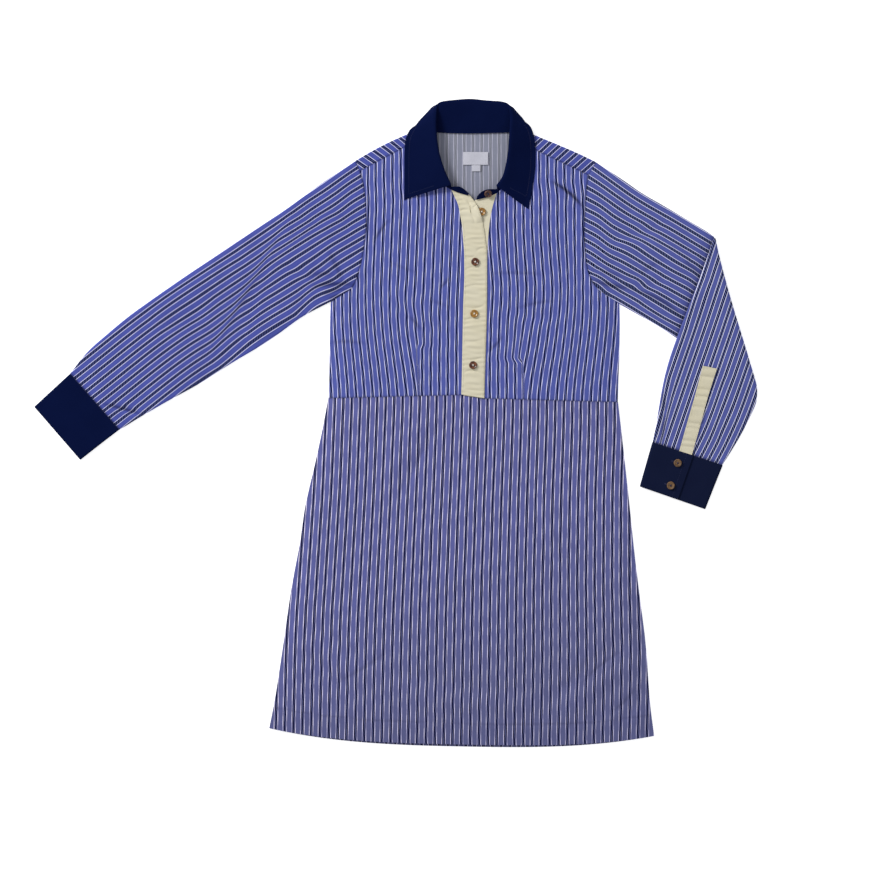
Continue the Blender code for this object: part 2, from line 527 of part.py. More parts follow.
def forward_yoke(top, indices, seam, radius):
    """Grid of the part that turns over one shoulder and comes down to the forward seam."""
    lines = [[] for _ in range(YOKE_TURNS + len(YOKE_PARTS))]
    high = FLOOR_LAYER + 2 * radius
    for n, i in enumerate(indices):
        share = n / (len(indices) - 1)
        normal = shoulder_normal(i)
        fold = np.array(top[i]) - radius * normal
        forward = np.array(seam[0]) * (1 - share) + np.array(seam[1]) * share + CLEAR * normal
        for k in range(YOKE_TURNS):
            turn = math.pi * k / (YOKE_TURNS - 1)
            place = fold + normal * radius * math.sin(turn)
            lines[k].append((place[0], place[1], FLOOR_LAYER + radius * (1 - math.cos(turn))))
        for k, part in enumerate(YOKE_PARTS, start=YOKE_TURNS):
            place = fold + (forward - fold) * part
            level = high + (float(front_height(*place)) - high) * ease(part)
            lines[k].append((place[0], place[1], level))
    return lines


def make_yoke():
    """One piece: the back yoke on the surface, turned over the shoulders to the forward seams."""
    top = SHOULDER_RIGHT + BACK_NECK + SHOULDER_LEFT
    right = range(len(SHOULDER_RIGHT))
    left = range(len(top) - len(SHOULDER_LEFT), len(top))
    crest = SHOULDER_RIGHT[len(SHOULDER_RIGHT) // 2]
    radius = (float(front_height(*crest)) - FLOOR_LAYER) / 2
    grids = [back_yoke(top, {*right, *left}, radius)]
    grids.append(forward_yoke(top, right, YOKE_SEAM_RIGHT, radius))
    grids.append(forward_yoke(top, left, YOKE_SEAM_LEFT, radius))
    wall("yoke", grids, "stripe")


def across_steps(width, round_left, round_right, inner):
    """Fractions across a flattened tube: three close together at each rounded edge, spread between."""
    round_left, round_right = min(round_left, 0.4 * width), min(round_right, 0.4 * width)
    left = [round_left * step / width for step in EDGE_STEPS]
    right = [1.0 - round_right * step / width for step in reversed(EDGE_STEPS)]
    spread = np.linspace(left[-1], left[-1] + (right[0] - left[-1]) * INNER_REACH, inner + 2)[1:-1]
    return left + list(spread) + right


def straight_places(row, round_left, round_right, inner, thickness=CLOTH):
    """Places across one straight section of a tube, whose wall then ends at the row's two points."""
    left, right = np.array(row[:2]), np.array(row[2:])
    inset = (right - left) / np.linalg.norm(right - left) * thickness / 2
    left, right = left + inset, right - inset
    steps = across_steps(float(np.linalg.norm(right - left)), round_left, round_right, inner)
    return np.array([left + (right - left) * step for step in steps])


def armhole_places(line):
    """The same number of places along an armhole: every point of it, with the rounded edges' own."""
    first = (line[1] - line[0]) / np.linalg.norm(line[1] - line[0])
    last = (line[-2] - line[-1]) / np.linalg.norm(line[-2] - line[-1])
    inset = CLOTH / 2
    start = [line[0] + first * (inset + SLEEVE_EDGE * step) for step in EDGE_STEPS]
    end = [line[-1] + last * (inset + step) * UNDERARM_EDGE / SLEEVE_EDGE
           for step in (SLEEVE_EDGE * part for part in reversed(EDGE_STEPS))]
    return np.array(start + list(line[1:-1]) + end)


def ring(places, rounds, low, high):
    """Closed line of points round one section of a flattened tube: along its top, back along its floor."""
    top, bottom = [], []
    from_left = np.linalg.norm(places - places[0], axis=1)
    from_right = np.linalg.norm(places - places[-1], axis=1)
    width = from_left[-1]
    for place, left, right in zip(places, from_left, from_right):
        near_left = 1.0 - min(left / min(rounds[0], 0.4 * width), 1.0)
        near_right = 1.0 - min(right / min(rounds[1], 0.4 * width), 1.0)
        part = math.sqrt(max(1.0 - near_left ** 2, 0.0)) * math.sqrt(max(1.0 - near_right ** 2, 0.0))
        floor, crown = float(low(*place)), float(high(*place))
        middle, half = (crown + floor) / 2, (crown - floor) / 2
        top.append((place[0], place[1], middle + half * part))
        bottom.append((place[0], place[1], middle - half * part))
    return top + bottom[-2:0:-1] + top[:1]


def sleeve_from_armhole(table, count, armhole, reach, low, high):
    """Rings of a sleeve: the first lies along the armhole, and straight sections start at ring reach."""
    rows = even(table, count)
    inner = len(armhole) - 2
    edge = armhole_places(armhole)
    rings = []
    for n, row in enumerate(rows):
        places = straight_places(row, SLEEVE_EDGE, SLEEVE_EDGE, inner)
        if n < reach:
            target = straight_places(rows[reach], SLEEVE_EDGE, SLEEVE_EDGE, inner)
            ends = np.linspace(0.0, 1.0, len(places))[:, None]
            ruled = edge + (target - edge) * (n / reach)
            shift = (places[0] - ruled[0]) * (1.0 - ends) + (places[-1] - ruled[-1]) * ends
            places = ruled + shift if n else edge
        slant = max(1.0 - n / reach, 0.0)
        rounds = (SLEEVE_EDGE, SLEEVE_EDGE + (UNDERARM_EDGE - SLEEVE_EDGE) * slant)
        rings.append(ring(places, rounds, low, high))
    return rings


def make_right_sleeve():
    """Straight sleeve, a flattened tube open at the armhole and the cuff, with its cuff."""
    armhole = parted(ARMHOLE_RIGHT, -CLEAR, -UNDERARM_CLEAR)
    table = [Row(*armhole[0], *armhole[-1])] + SLEEVE_RIGHT[1:]
    rings = sleeve_from_armhole(table, 17, armhole, 4, lambda x, y: FLOOR_LAYER, front_height)
    wall("sleeve_right", [rings], "stripe")
    rings = [ring(straight_places(row, CUFF_EDGE, CUFF_EDGE, 4, BAND), (CUFF_EDGE, CUFF_EDGE),
                  lambda x, y: BAND / 2, lambda x, y: BAND / 2 + CUFF_LOFT) for row in even(CUFF_RIGHT, 4)]
    wall("cuff_right", [rings], "navy", BAND)


def elbow_fold_distance(x, y):
    """Distance inside the elbow fold, from the fold line towards the body."""
    start, end = FOREARM_LEFT[0], FOREARM_LEFT[FOLD_SECTIONS]
    return -side_distance(x, y, (end.right_x, end.right_y), (start.right_x, start.right_y))


def upper_edge_distance(x, y):
    """Distance inside the lower edge of the upper sleeve."""
    start, end = UPPER_LEFT[4], UPPER_LEFT[-1]
    return -side_distance(x, y, (start.right_x, start.right_y), (end.right_x, end.right_y))


def forearm_overlap(x, y):
    """1 where the forearm lies on the upper sleeve, falling to 0 past the fold and the lower edge."""
    past_edge = ease((upper_edge_distance(x, y) + STEP_RUN) / (STEP_RUN - 1.5))
    past_fold = ease((elbow_fold_distance(x, y) - 0.5) / (OVERLAP_EDGE - 1.0))
    return past_edge * past_fold


def make_left_sleeve():
    """Sleeve folded over at the elbow: the upper stretch, the forearm on it, placket and cuff."""
    def upper_high(x, y):
        start, end = FOREARM_LEFT[1], FOREARM_LEFT[4]
        inside = side_distance(x, y, (end.left_x, end.left_y), (start.left_x, start.left_y))
        covered = ease((16.0 + inside) / 14.0)
        return FRONT_LAYER + lift(x, y) * (1.0 - covered) + PRESSED * covered

    armhole = parted(ARMHOLE_LEFT, CLEAR, UNDERARM_CLEAR)
    table = [Row(*armhole[0], *armhole[-1])] + UPPER_LEFT[1:]
    rings = sleeve_from_armhole(table, 11, armhole, 3, lambda x, y: FLOOR_LAYER, upper_high)
    wall("sleeve_left_upper", [[line[::-1] for line in rings]], "stripe")

    def fore_low(x, y):
        return FLOOR_LAYER + STEP * forearm_overlap(x, y)

    def fore_high(x, y):
        past_edge = ease((upper_edge_distance(x, y) + STEP_RUN) / (STEP_RUN - 1.5))
        return FRONT_LAYER + STEP * past_edge + lift(x, y)

    count = 21
    per_row = (count - 1) / (len(FOREARM_LEFT) - 1)
    rings = []
    for n, row in enumerate(even(FOREARM_LEFT, count)):
        past = float(ease((n / per_row - FOLD_SECTIONS + 0.5) / 1.5))
        rounds = (SLEEVE_EDGE, OVERLAP_EDGE + (SLEEVE_EDGE - OVERLAP_EDGE) * past)
        rings.append(ring(straight_places(row, rounds[0], rounds[1], 7), rounds, fore_low, fore_high))
    wall("sleeve_left_forearm", [[line[::-1] for line in rings]], "stripe")

    def on_forearm(x, y, from_left, from_right):
        return fore_high(x, y) + CLOTH + 3 * CLEAR

    rows = even(SLEEVE_PLACKET, 9)
    grid = flat_panel(rows[:, :2], rows[:, 2:], [0.0, 0.5, 1.0], on_forearm)
    wall("sleeve_placket_left", [grid[::-1]], "cream")
    make_left_cuff()


def make_left_cuff():
    """Cuff band round the forearm's end, its lap on top of its other end."""
    grid = []
    for left_x, left_y, right_x, right_y in even(CUFF_LEFT, 4):
        grid.append([(left_x + (right_x - left_x) * part, left_y + (right_y - left_y) * part, height)
                     for part, height in CUFF_PATH])
    wall("cuff_left", [grid[::-1]], "navy", BAND)


def square_to(vector, along):
    """Unit vector of the part of a vector that is square to a direction."""
    left = vector - along * np.dot(vector, along)
    return left / np.linalg.norm(left)


def collar_sections(count):
    """Points of the collar's middle surface at each station, from the neck over the roll to the edge."""
    filled = []
    for row in COLLAR:
        values = list(row)
        for at in (2, 8, 11):
            values[at] = values[at] or float(on_front(values[at - 2], values[at - 1], BAND))
        filled.append(values)
    rows = even(filled, count)
    tangents = np.gradient(rows[:, 3:6], axis=0)
    sections = []
    for row, tangent in zip(rows, tangents):
        neck, roll, fold, edge = row[:3], row[3:6], row[6:9], row[9:]
        tangent = tangent / np.linalg.norm(tangent)
        up = square_to(neck - roll, tangent)
        down = square_to((fold + edge) / 2 - roll, tangent)
        lean = (up + down) / np.linalg.norm(up + down)
        spread = (up - down) / np.linalg.norm(up - down)
        inner = roll + ROLL_RADIUS * (lean + spread)
        outer = roll + ROLL_RADIUS * (lean - spread)
        sections.append((neck, inner, roll, outer, fold, edge))
    return sections


def band_row(band):
    """Three points up one end of the stand."""
    neck, top = np.array(band[:3]), np.array(band[3:])
    return [neck, (neck + top) / 2, top]


def make_collar():
    """Stand round the neck and the fall that rolls over it."""
    sections = collar_sections(COLLAR_STATIONS)
    seams = np.array([neck + (inner - neck) * STAND_PART for neck, inner, *_ in sections])
    grid = []
    for (neck, inner, roll, outer, fold, edge), along in zip(sections, np.gradient(seams, axis=0)):
        rise = inner - neck
        length = np.linalg.norm(rise)
        square = np.linalg.norm(np.cross(rise, along)) / length / np.linalg.norm(along)
        seam = (0.0, STAND_PART / 2, STAND_PART, STAND_PART + COLLAR_GAP / length / max(square, 0.2))
        near, far = outer * 0.67 + fold * 0.33, outer * 0.33 + fold * 0.67
        grid.append([neck + rise * part for part in seam]
                    + [inner, roll, outer, near, far, fold, (fold + edge) / 2, edge])
    right_end = [band_row(end) for end in STAND_END_RIGHT[::-1]] + [grid[0][:3]]
    left_end = [grid[-1][:3]] + [band_row(end) for end in STAND_END_LEFT]
    grids = [right_end, grid, left_end]
    wall("collar_stand", grids, "navy", BAND, range(0, 2))
    wall("collar_fall", grids, "navy", BAND, range(3, len(grid[0]) - 1))


def make_tags():
    """Blank woven label and size tab on the inside of the back yoke."""
    level = 1.5 * CLOTH + CLEAR
    for tag in TAGS:
        grid = [[(x, y, level) for x in np.linspace(tag.left, tag.right, 3)] for y in (tag.bottom, tag.top)]
        wall(tag.name, [grid], "label")


def seat_height(button):
    """Height of what carries a button, at its highest place under the button."""
    if button.seat == "stand":
        return STAND_SEAT
    if button.seat == "cuff":
        return CUFF_HIGH + BAND / 2
    reach = (-BUTTON_RADIUS, 0.0, BUTTON_RADIUS)
    places = [(button.x + dx, button.y + dy) for dx in reach for dy in reach]
    if button.seat == "placket":
        return max(float(on_front(x, y, CLOTH)) for x, y in places) + CLOTH / 2
    return max(float(front_height(x, y)) for x, y in places) + CLOTH / 2


def make_button(button):
    """Turned button with a raised rim and a shallow dish, leaning with its seat."""
    seat = seat_height(button) + CLEAR
    lean = math.radians(button.lean)
    bm = bmesh.new()
    lines = []
    for radius, height in BUTTON_PROFILE:
        verts = []
        for turn in np.arange(BUTTON_SIDES if radius else 1) * 2.0 * math.pi / BUTTON_SIDES:
            across, up = radius * math.cos(turn), radius * math.sin(turn)
            place = (button.x + across, button.y + up * math.cos(lean) - height * math.sin(lean),
                     seat + up * math.sin(lean) + height * math.cos(lean))
            verts.append(bm.verts.new([value * MM for value in place]))
        lines.append(verts)
    for low, high in zip(lines[:-1], lines[1:]):
        for k in range(BUTTON_SIDES):
            after = (k + 1) % BUTTON_SIDES
            if len(low) == 1:
                bm.faces.new((low[0], high[after], high[k]))
            elif len(high) == 1:
                bm.faces.new((low[k], low[after], high[0]))
            else:
                bm.faces.new((low[k], low[after], high[after], high[k]))
    add_object(button.name, bm, "button")


clear_scene()
make_backs()
make_skirt_front()
make_bodice_fronts()
make_yoke()
make_plackets()
make_right_sleeve()
make_left_sleeve()
make_collar()
make_tags()
for carried in BUTTONS:
    make_button(carried)
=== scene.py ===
"""Looks of the shirt dress: thin cloth, sewing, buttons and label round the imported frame.

The tables are in millimetres from the waist point, where the centre front meets the waist seam:
+X is the wearer's left, +Y runs towards the collar and +Z is up. Meshes are scaled to metres last.
A row of a panel's table is a point of its left edge and one of its right edge.
"""
import math
from collections import namedtuple

import bpy
import numpy as np
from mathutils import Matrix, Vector


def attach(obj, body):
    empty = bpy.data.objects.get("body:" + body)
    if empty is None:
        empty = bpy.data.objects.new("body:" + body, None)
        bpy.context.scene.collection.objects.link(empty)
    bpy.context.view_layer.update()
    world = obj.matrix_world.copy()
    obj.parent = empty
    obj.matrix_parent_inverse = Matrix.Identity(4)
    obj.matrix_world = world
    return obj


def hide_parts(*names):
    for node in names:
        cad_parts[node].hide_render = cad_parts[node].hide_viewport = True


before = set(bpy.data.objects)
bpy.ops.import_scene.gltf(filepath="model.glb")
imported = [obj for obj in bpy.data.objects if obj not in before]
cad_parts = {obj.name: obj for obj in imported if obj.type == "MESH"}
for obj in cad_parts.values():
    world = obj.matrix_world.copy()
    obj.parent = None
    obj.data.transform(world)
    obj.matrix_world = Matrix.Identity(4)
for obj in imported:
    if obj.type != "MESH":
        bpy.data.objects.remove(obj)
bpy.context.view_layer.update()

MM = 0.001
WAIST_POINT = (109.8, 34.85)  # from the middle of the whole outline

# Cloth and the way it lies
SHELL = 0.6  # striped cotton
BAND = 1.2  # collar and cuffs, two layers with a stiffener
STRIP = 1.0  # plackets, folded double
TAG_CLOTH = 0.5
FLOOR_LAYER = SHELL / 2  # middle of the cloth that lies on the floor
EDGE_LAYER = 1.5 * SHELL  # middle of the front where it meets the back at a side seam
FRONT_LAYER = 1.8  # the same elsewhere, without its loft
LOFT = 1.6  # air under the front
LEAST_LOFT = 0.4
TROUGH_EASE = 0.8  # how softly a trough comes down to the least loft
SIDE_DROP = 22.0  # width over which the front comes down to a side seam
SLEEVE_EDGE = 2.0  # round of a sleeve's long edges
UNDERARM_EDGE = 4.5  # the same under the arm
OVERLAP_EDGE = 8.0  # round of the elbow fold, four layers thick
CUFF_EDGE = 1.4
CUFF_LOFT = 2.9
TUCK = 1.4  # how far a sleeve's end sinks into its cuff
STEP = 3.9  # rise of the forearm over the upper sleeve
STEP_RUN = 30.0
PRESSED = 0.8  # loft of the upper sleeve under the forearm
GRID_STEP = 3.0  # between the points of the visible cloth
FINE_STEP = 2.3  # the same where the creases are sharp
BACK_STEP = 9.0  # between those of the cloth that lies flat on the floor
TIGHT_ENDS = (0.0, 0.7, 1.6, 3.0)
WELD = 0.002  # points nearer than this are one
SEAM_DEPTH = 0.5
SEAM_REACH = 1.3
DART_DEPTH = 0.7
PUCKER = 0.28  # of the waist seam
HEM_RIDGE = 0.28
TUBE_TOP = FLOOR_LAYER + 0.8  # above this height is the top of a sleeve
TUCK_RUN = 4.5  # length over which a sleeve's end sinks into its cuff
BODICE_WIDTH, BACK_WIDTH, SKIRT_WIDTH = 185.0, 400.0, 480.0
PLACKET_WIDTH, UNDER_WIDTH, SLEEVE_PLACKET_WIDTH = 32.0, 28.0, 19.0

# Stripes
REPEAT = 12.4
DARK_HALF = 2.05  # half the dark band
LINE_END = 3.15  # outer edge of a white line, from the middle of the band
CORE_STEP = 3.4  # from one dark core inside the band to the next
CORE_HALF = 1.05
CORE_PLACES = 4.0  # across the band, where a core stays for a while
LINE_SOFT = 0.22  # width over which a colour changes to the next
CREASE_SHADE = 0.75  # darkness of the painted shade in the deepest creases

Fold = namedtuple("Fold", "x0 y0 x1 y1 bow width height")
Stray = namedtuple("Stray", "x0 y0 x1 y1 left right shift")
Tag = namedtuple("Tag", "name left right top bottom")
Button = namedtuple("Button", "name x y seat finish turn lean", defaults=[0.0])
Dart = namedtuple("Dart", "waist_x tip_x tip_y take side phase scale lean")
Fabric = namedtuple("Fabric", "slot materials")

ARMHOLE_RIGHT = [
    (-166.6, 337.3), (-160.5, 323.1), (-155.3, 302.5), (-151.9, 273.4), (-151.2, 249.2), (-153.4, 225.1),
    (-158.6, 193.8), (-167, 166), (-174, 155), (-184, 148.6), (-201.6, 137.7),
]
ARMHOLE_LEFT = [
    (173.9, 335.8), (163.7, 317.4), (161, 296.1), (159.3, 273.4), (157.9, 242.1), (158.9, 213.1),
    (162.3, 185.3), (169.8, 165.4), (179.6, 153.4), (190.6, 146), (207.6, 134.4),
]
UNDERARM = len(ARMHOLE_RIGHT) - 2  # number of the point under the arm in a front's outer edge
BACK_YOKE_POINT = 3  # of the armholes, where the back yoke's seam ends
SIDE_RIGHT = [(-203, 104.4), (-203.5, 66), (-204.1, 32), (-205, 0.4)]
SIDE_LEFT = [(208.4, 104.4), (207.8, 68.9), (206.5, 29.1), (205.5, -5.2)]
INNER_RIGHT = [
    (-69.6, 371.3), (-68.9, 352.9), (-62.5, 331.6), (-47.6, 310.3), (-27.7, 294.7), (-16.6, 264.8),
    (-11.1, 228), (-9.9, 199), (-9.9, 176), (-10.5, 150), (-11.2, 111.5), (-12.2, 68.9), (-13.1, 32),
    (-13.9, 5),
]
INNER_LEFT = [
    (68.2, 362.8), (69.6, 344.3), (65.3, 325.9), (53.3, 308.1), (33.4, 291.1), (26.7, 267.7), (22.7, 242.1),
    (20.7, 215.1), (20.2, 185.3), (20.2, 161.2), (19.9, 122.8), (18.7, 80.2), (17.3, 37.6), (16.2, 0.1),
]
CENTRE_START = 4  # first point of the left front's edge beside the placket
WAIST_SEAM = [(-205.2, 0.5), (-13.9, 5.1), (16.2, 0.2), (205.7, -5.1)]
SKIRT = [
    (-205.5, -0.6, 205.9, -6.9), (-214.7, -49, 210.9, -49), (-224.4, -93, 215.8, -93),
    (-239.1, -158.3, 222.9, -158.3), (-245.1, -200.9, 227.2, -200.9), (-258.4, -273.3, 235.7, -273.3),
    (-270.1, -354.3, 245.7, -354.3), (-282, -431, 251.2, -431), (-289.4, -468.2, 257.3, -479.2),
]
EDGE_PART = 0.2  # part of the skirt's height that follows the waist seam or the hem
FRONT_HEM_BOW = 17.4
BACK_HEM_BOW = 20.4
HEM = 30.0  # depth of the turned-up hem
PLACKET_TOP = [
    (-31.1, 297.2, -4.5, 288.5), (-26.7, 287.6, 2.1, 279.7), (-20.7, 273.3, 7.5, 270.1),
    (-18, 259.1, 12.1, 257), (-15.3, 243, 15.3, 240.7), (-13.9, 223.6, 17.8, 222.2),
    (-12.5, 203.8, 19.3, 202.3), (-12.4, 175.4, 19.5, 175.4), (-13.9, 132.8, 19.2, 132.8),
    (-14.8, 88.8, 18, 88.8), (-15.6, 45.4, 16.5, 45.4), (-16.6, 5.9, 15.6, 0.6),
]
UNDER_LEFT_EDGE = [
    (2.8, 281.6), (-5.5, 264), (-8.7, 239), (-9.2, 215.1), (-8.9, 185.3), (-9.2, 161.2), (-10.2, 122.8),
    (-11.2, 80.2), (-12.2, 37.6), (-13, 4.2),
]
SHOULDER_RIGHT = [(-166.6, 337.3), (-144.1, 350.6), (-115.6, 365.2), (-92.7, 375.3), (-71, 384.8)]
BACK_NECK = [(-52.5, 379.8), (-28.4, 378.6), (-2.8, 378.2), (24.1, 378.6), (49.7, 379.8)]
SHOULDER_LEFT = [(68.2, 382.9), (86.6, 374.2), (122, 359.5), (150, 347.3), (173.9, 335.8)]
YOKE_SEAM_RIGHT = [(-160.5, 323.1), (-71, 370.7)]
YOKE_SEAM_LEFT = [(68.2, 362.8), (163.7, 317.4)]
SHOULDER_POINTS, NECK_POINTS = 37, 33
YOKE_LEVELS = 31
YOKE_TURNS = 9  # lines round a shoulder's fold
YOKE_ROWS = 9  # lines from the fold to the forward seam
SLEEVE_RIGHT = [
    (-166.6, 337.3, -201.6, 137.7), (-210.2, 308.8, -241.4, 116.6), (-268.1, 266.7, -291.1, 81.2),
    (-330.9, 225.7, -340.8, 51.4), (-387.7, 187.4, -387.7, 21.6), (-456.5, 139.9, -434.5, -4.3),
    (-490.5, 115.2, -461.5, -19.9), (-518.2, 92.2, -477.1, -29.1), (-547.4, 66, -490.6, -37.6),
    (-572.8, 34.4, -503, -45),
]
CUFF_RIGHT = [(-571.8, 35.4, -502, -44.1), (-597.5, 11.8, -529.9, -65.6), (-623, -11.8, -557.5, -87.3)]
UPPER_LEFT = [
    (173.9, 335.8, 207.6, 134.4), (211.6, 311.1, 231.5, 120.7), (239.4, 291.8, 254.2, 107.9),
    (268.4, 275, 272.6, 96.6), (286.6, 264.2, 289, 85.9), (308.1, 251.2, 329.4, 61.1),
    (331.6, 237.2, 378.4, 30.8), (342, 230, 390.5, 21.5),
]
FOREARM_LEFT = [
    (341.7, 227.6, 344.3, 226.9), (333.7, 203.8, 349.8, 201.6), (320.9, 168.3, 358.9, 166.8),
    (305.3, 128.5, 369.8, 128.5), (289.7, 87.3, 382, 88.8), (278.3, 53.8, 392.3, 54.7),
    (271.1, 26.3, 403.4, 12.9), (267, 5, 402.6, -2.1), (263.4, -16.3, 393.8, -25.2),
    (259.1, -41.9, 378.9, -53.9), (254.7, -63.6, 353.6, -95.7),
]
FOLD_SECTIONS = 6  # last row of the forearm on the elbow fold
CUFF_LEFT = [(255.1, -62, 354.1, -94.5), (246.1, -93.6, 341.5, -125.8), (237.1, -125.2, 329.2, -157.1)]
SLEEVE_PLACKET = [
    (326, 46.4, 346.1, 42.3), (315.2, 5, 333, 0.7), (304.6, -31.9, 323.1, -36.2),
    (292.7, -74.4, 310.6, -80),
]
SLEEVE_GRAIN_RIGHT = [
    (-142.4, 357.5), (-270.2, 269.2), (-388.9, 189.2), (-472.2, 133.3), (-581.4, 47.8),
]
SLEEVE_GRAIN_LEFT = [(151.6, 355.7), (241, 292), (288.2, 264.7), (361.6, 220.7)]
FOREARM_GRAIN = [(349, 242), (312.4, 128.5), (286.8, 53.8), (241.5, -80)]

# Left cuff: part of its width and height, from the lap's hidden end round the arm to the lap's edge
CUFF_LOW = BAND / 2
CUFF_MIDDLE = 2.5 * BAND + 0.7
CUFF_HIGH = 3.5 * BAND + 1.1
CUFF_FACE = CUFF_HIGH + BAND / 2
CUFF_PATH = [
    *((part, CUFF_MIDDLE) for part in (0.30, 0.55, 0.80, 0.96)),
    (0.99, CUFF_MIDDLE - 0.5), (1.0, (CUFF_MIDDLE + CUFF_LOW) / 2), (0.99, CUFF_LOW + 0.4),
    *((part, CUFF_LOW) for part in (0.96, 0.75, 0.50, 0.25, 0.04)),
    (0.012, CUFF_LOW + 0.6), (0.0, (CUFF_HIGH + CUFF_LOW) / 2), (0.012, CUFF_HIGH - 0.6),
    *((part, CUFF_HIGH) for part in (0.04, 0.20, 0.40, 0.58)),
]

# Collar: x, y and z of the neck seam, the roll, the middle of the fall and its edge; a z of 0 is on the dress
COLLAR = [
    (-30.2, 296.2, 6.6, -31.2, 303.5, 12.4, -93, 283.6, 0, -97.6, 281.2, 0),
    (-46.9, 306.4, 0, -38.3, 318.1, 12.8, -93.4, 300.9, 0, -97.6, 300.8, 0),
    (-61.8, 323.8, 0, -45.2, 337.2, 12.5, -93.3, 324.5, 0, -97.6, 324.3, 0),
    (-69.6, 340.5, 0, -49.1, 353.6, 13, -93.2, 347.2, 0, -97.4, 347.2, 0),
    (-70.7, 358.5, 0, -51.4, 369.9, 13, -92, 364.2, 6, -96.1, 364.9, 6),
    (-67.9, 372, 5, -52.5, 386.9, 12.5, -86.9, 378.4, 5.8, -90.5, 380.1, 4.8),
    (-62.2, 377, 2.6, -52.5, 402.6, 11.5, -77.8, 391.8, 3.6, -73.1, 393.2, 1.6),
    (-56.8, 377.7, 2, -52, 413.1, 9.4, -65, 405.7, 2.8, -59.6, 402.6, 0.8),
    (-51.1, 377.6, 1.9, -49.1, 418.5, 7.4, -54.5, 415.1, 2.4, -49.7, 405.4, 0.65),
    (-44.7, 377.3, 1.9, -42.6, 421.2, 6.4, -43.5, 416.8, 2.2, -41.2, 396.9, 0.6),
    (-25.6, 376.7, 1.9, -25.6, 423.3, 5.8, -25.6, 418.2, 2.2, -25.6, 389.8, 0.6),
    (-2.8, 376.3, 1.9, -4.3, 424.7, 5.8, -4.3, 419.6, 2.2, -4.3, 386.9, 0.6),
    (21.3, 376.7, 1.9, 18.5, 422.6, 5.8, 18.5, 417.5, 2.2, 18.5, 389.8, 0.6),
    (41.2, 377.3, 1.9, 39.8, 421, 6.4, 40.5, 416.1, 2.2, 38.3, 396.9, 0.6),
    (48.3, 377.6, 1.9, 48.8, 418.2, 7.4, 54.5, 413.9, 2.4, 49, 405.4, 0.65),
    (54, 377.7, 2, 53, 411.7, 9.4, 61.9, 406.3, 2.8, 57.5, 402.6, 0.8),
    (59.6, 377, 2.6, 53.4, 401.1, 11.5, 71, 396.3, 3.6, 68.2, 396, 1.6),
    (65.3, 372, 5, 52.8, 386.9, 12.5, 78.5, 383, 5.8, 81.6, 385.8, 4.8),
    (69.6, 358.5, 0, 51.5, 369.9, 13, 83.1, 367.8, 6, 87.2, 368.8, 6),
    (70.3, 340.5, 0, 50.1, 351.4, 13, 84.6, 350, 0, 88.8, 350, 0),
    (63.2, 322.3, 0, 47.3, 333.7, 12.5, 84.3, 331.6, 0, 88.5, 331.6, 0),
    (48.3, 305.3, 0, 42.6, 315.9, 12.8, 81.8, 308.8, 0, 86.1, 308.8, 0),
    (34.2, 292, 6.2, 33, 301.5, 12.4, 74.7, 271.4, 0, 78.8, 268.7, 0),
]
COLLAR_HEIGHTS = (2, 8, 11)
# Ends of the stand past the fall: x, y and z of the neck seam and the top
STAND_END_RIGHT = [
    (-20.9, 292.4, 6.5, -20.6, 300.4, 11.6), (-13.5, 290.2, 6.4, -12.4, 296.4, 10.2),
    (-7, 288.2, 6.3, -5.8, 290.8, 7.6),
]
STAND_END_LEFT = [
    (22.5, 286.6, 5.7, 21.4, 296.4, 11.6), (10.5, 283.4, 5.3, 11.4, 292.4, 10),
    (4.6, 282.2, 5.1, 6, 286.8, 7.6),
]
ROLL_RADIUS = 1.8
STAND_PART = 0.55  # part of the inner side that belongs to the stand
COLLAR_STATIONS = 177
STAND_ACROSS = 9
FALL_ACROSS = 33

# Folds from one end to the other, their bow to the left, width and height
FOLDS = [Fold(*row) for row in (
    (-40, -30, -107, -151, -6, 8, -1.5), (-62, -22, -128, -140, -8, 14, 1.3),
    (79, -92, 148, -298, -16, 8, -1.5), (96, -100, 172, -270, -16, 14, 1.2),
    (-118, -232, 46, -136, 6, 20, 1.3), (-96, -290, 70, -232, 8, 18, 1.2),
    (-246, -314, -143, -382, 4, 8, -1.6), (-262, -354, -152, -435, 4, 8, -1.6),
    (-240, -345, -150, -410, 4, 10, 1.4), (226, -343, 106, -438, -8, 9, -1.9),
    (240, -372, 130, -452, -8, 13, 1.8), (246, -414, 205, -466, 2, 8, -1.4),
    (-153, -379, 124, -418, -10, 12, -1.2), (-132, -414, 95, -436, -8, 16, 1.6),
    (-126, 151, -45, 88, -4, 7, -1.3), (-120, 168, -34, 112, -4, 12, 1), (38, 140, 124, 118, -12, 8, -1.1),
    (36, 218, 70, 110, 14, 11, 1), (115, 306, 149, 272, 3, 6, -1), (-196, 140, -143, 193, 4, 9, 1.2),
    (-182, 164, -267, 194, 8, 9, -1.3), (-291, 194, -322, 83, -6, 10, -1.2),
    (-322, 83, -402, 9, 4, 10, -1.2), (-246, 140, -366, 66, 6, 14, 1.3),
    (-331, 194, -459, 111, -6, 15, 1.4), (-366, 140, -444, 97, 4, 9, -1.1),
    (-513, -12, -470, -22, 1, 5, -1.2), (206, 225, 308, 194, 5, 13, 1.8), (197, 228, 277, 251, -5, 8, -1.2),
    (202, 157, 277, 168, -6, 8, -1.4), (237, 140, 297, 109, -4, 8, -1.4), (270, 16, 268, -58, 0, 5, -1.1),
    (300, 100, 338, 165, 4, 12, 1), (362, 30, 352, -62, -4, 12, 1),
)]
LAP_BULGE = Fold(8, 280, 12, 250, 0, 11, 3.1)
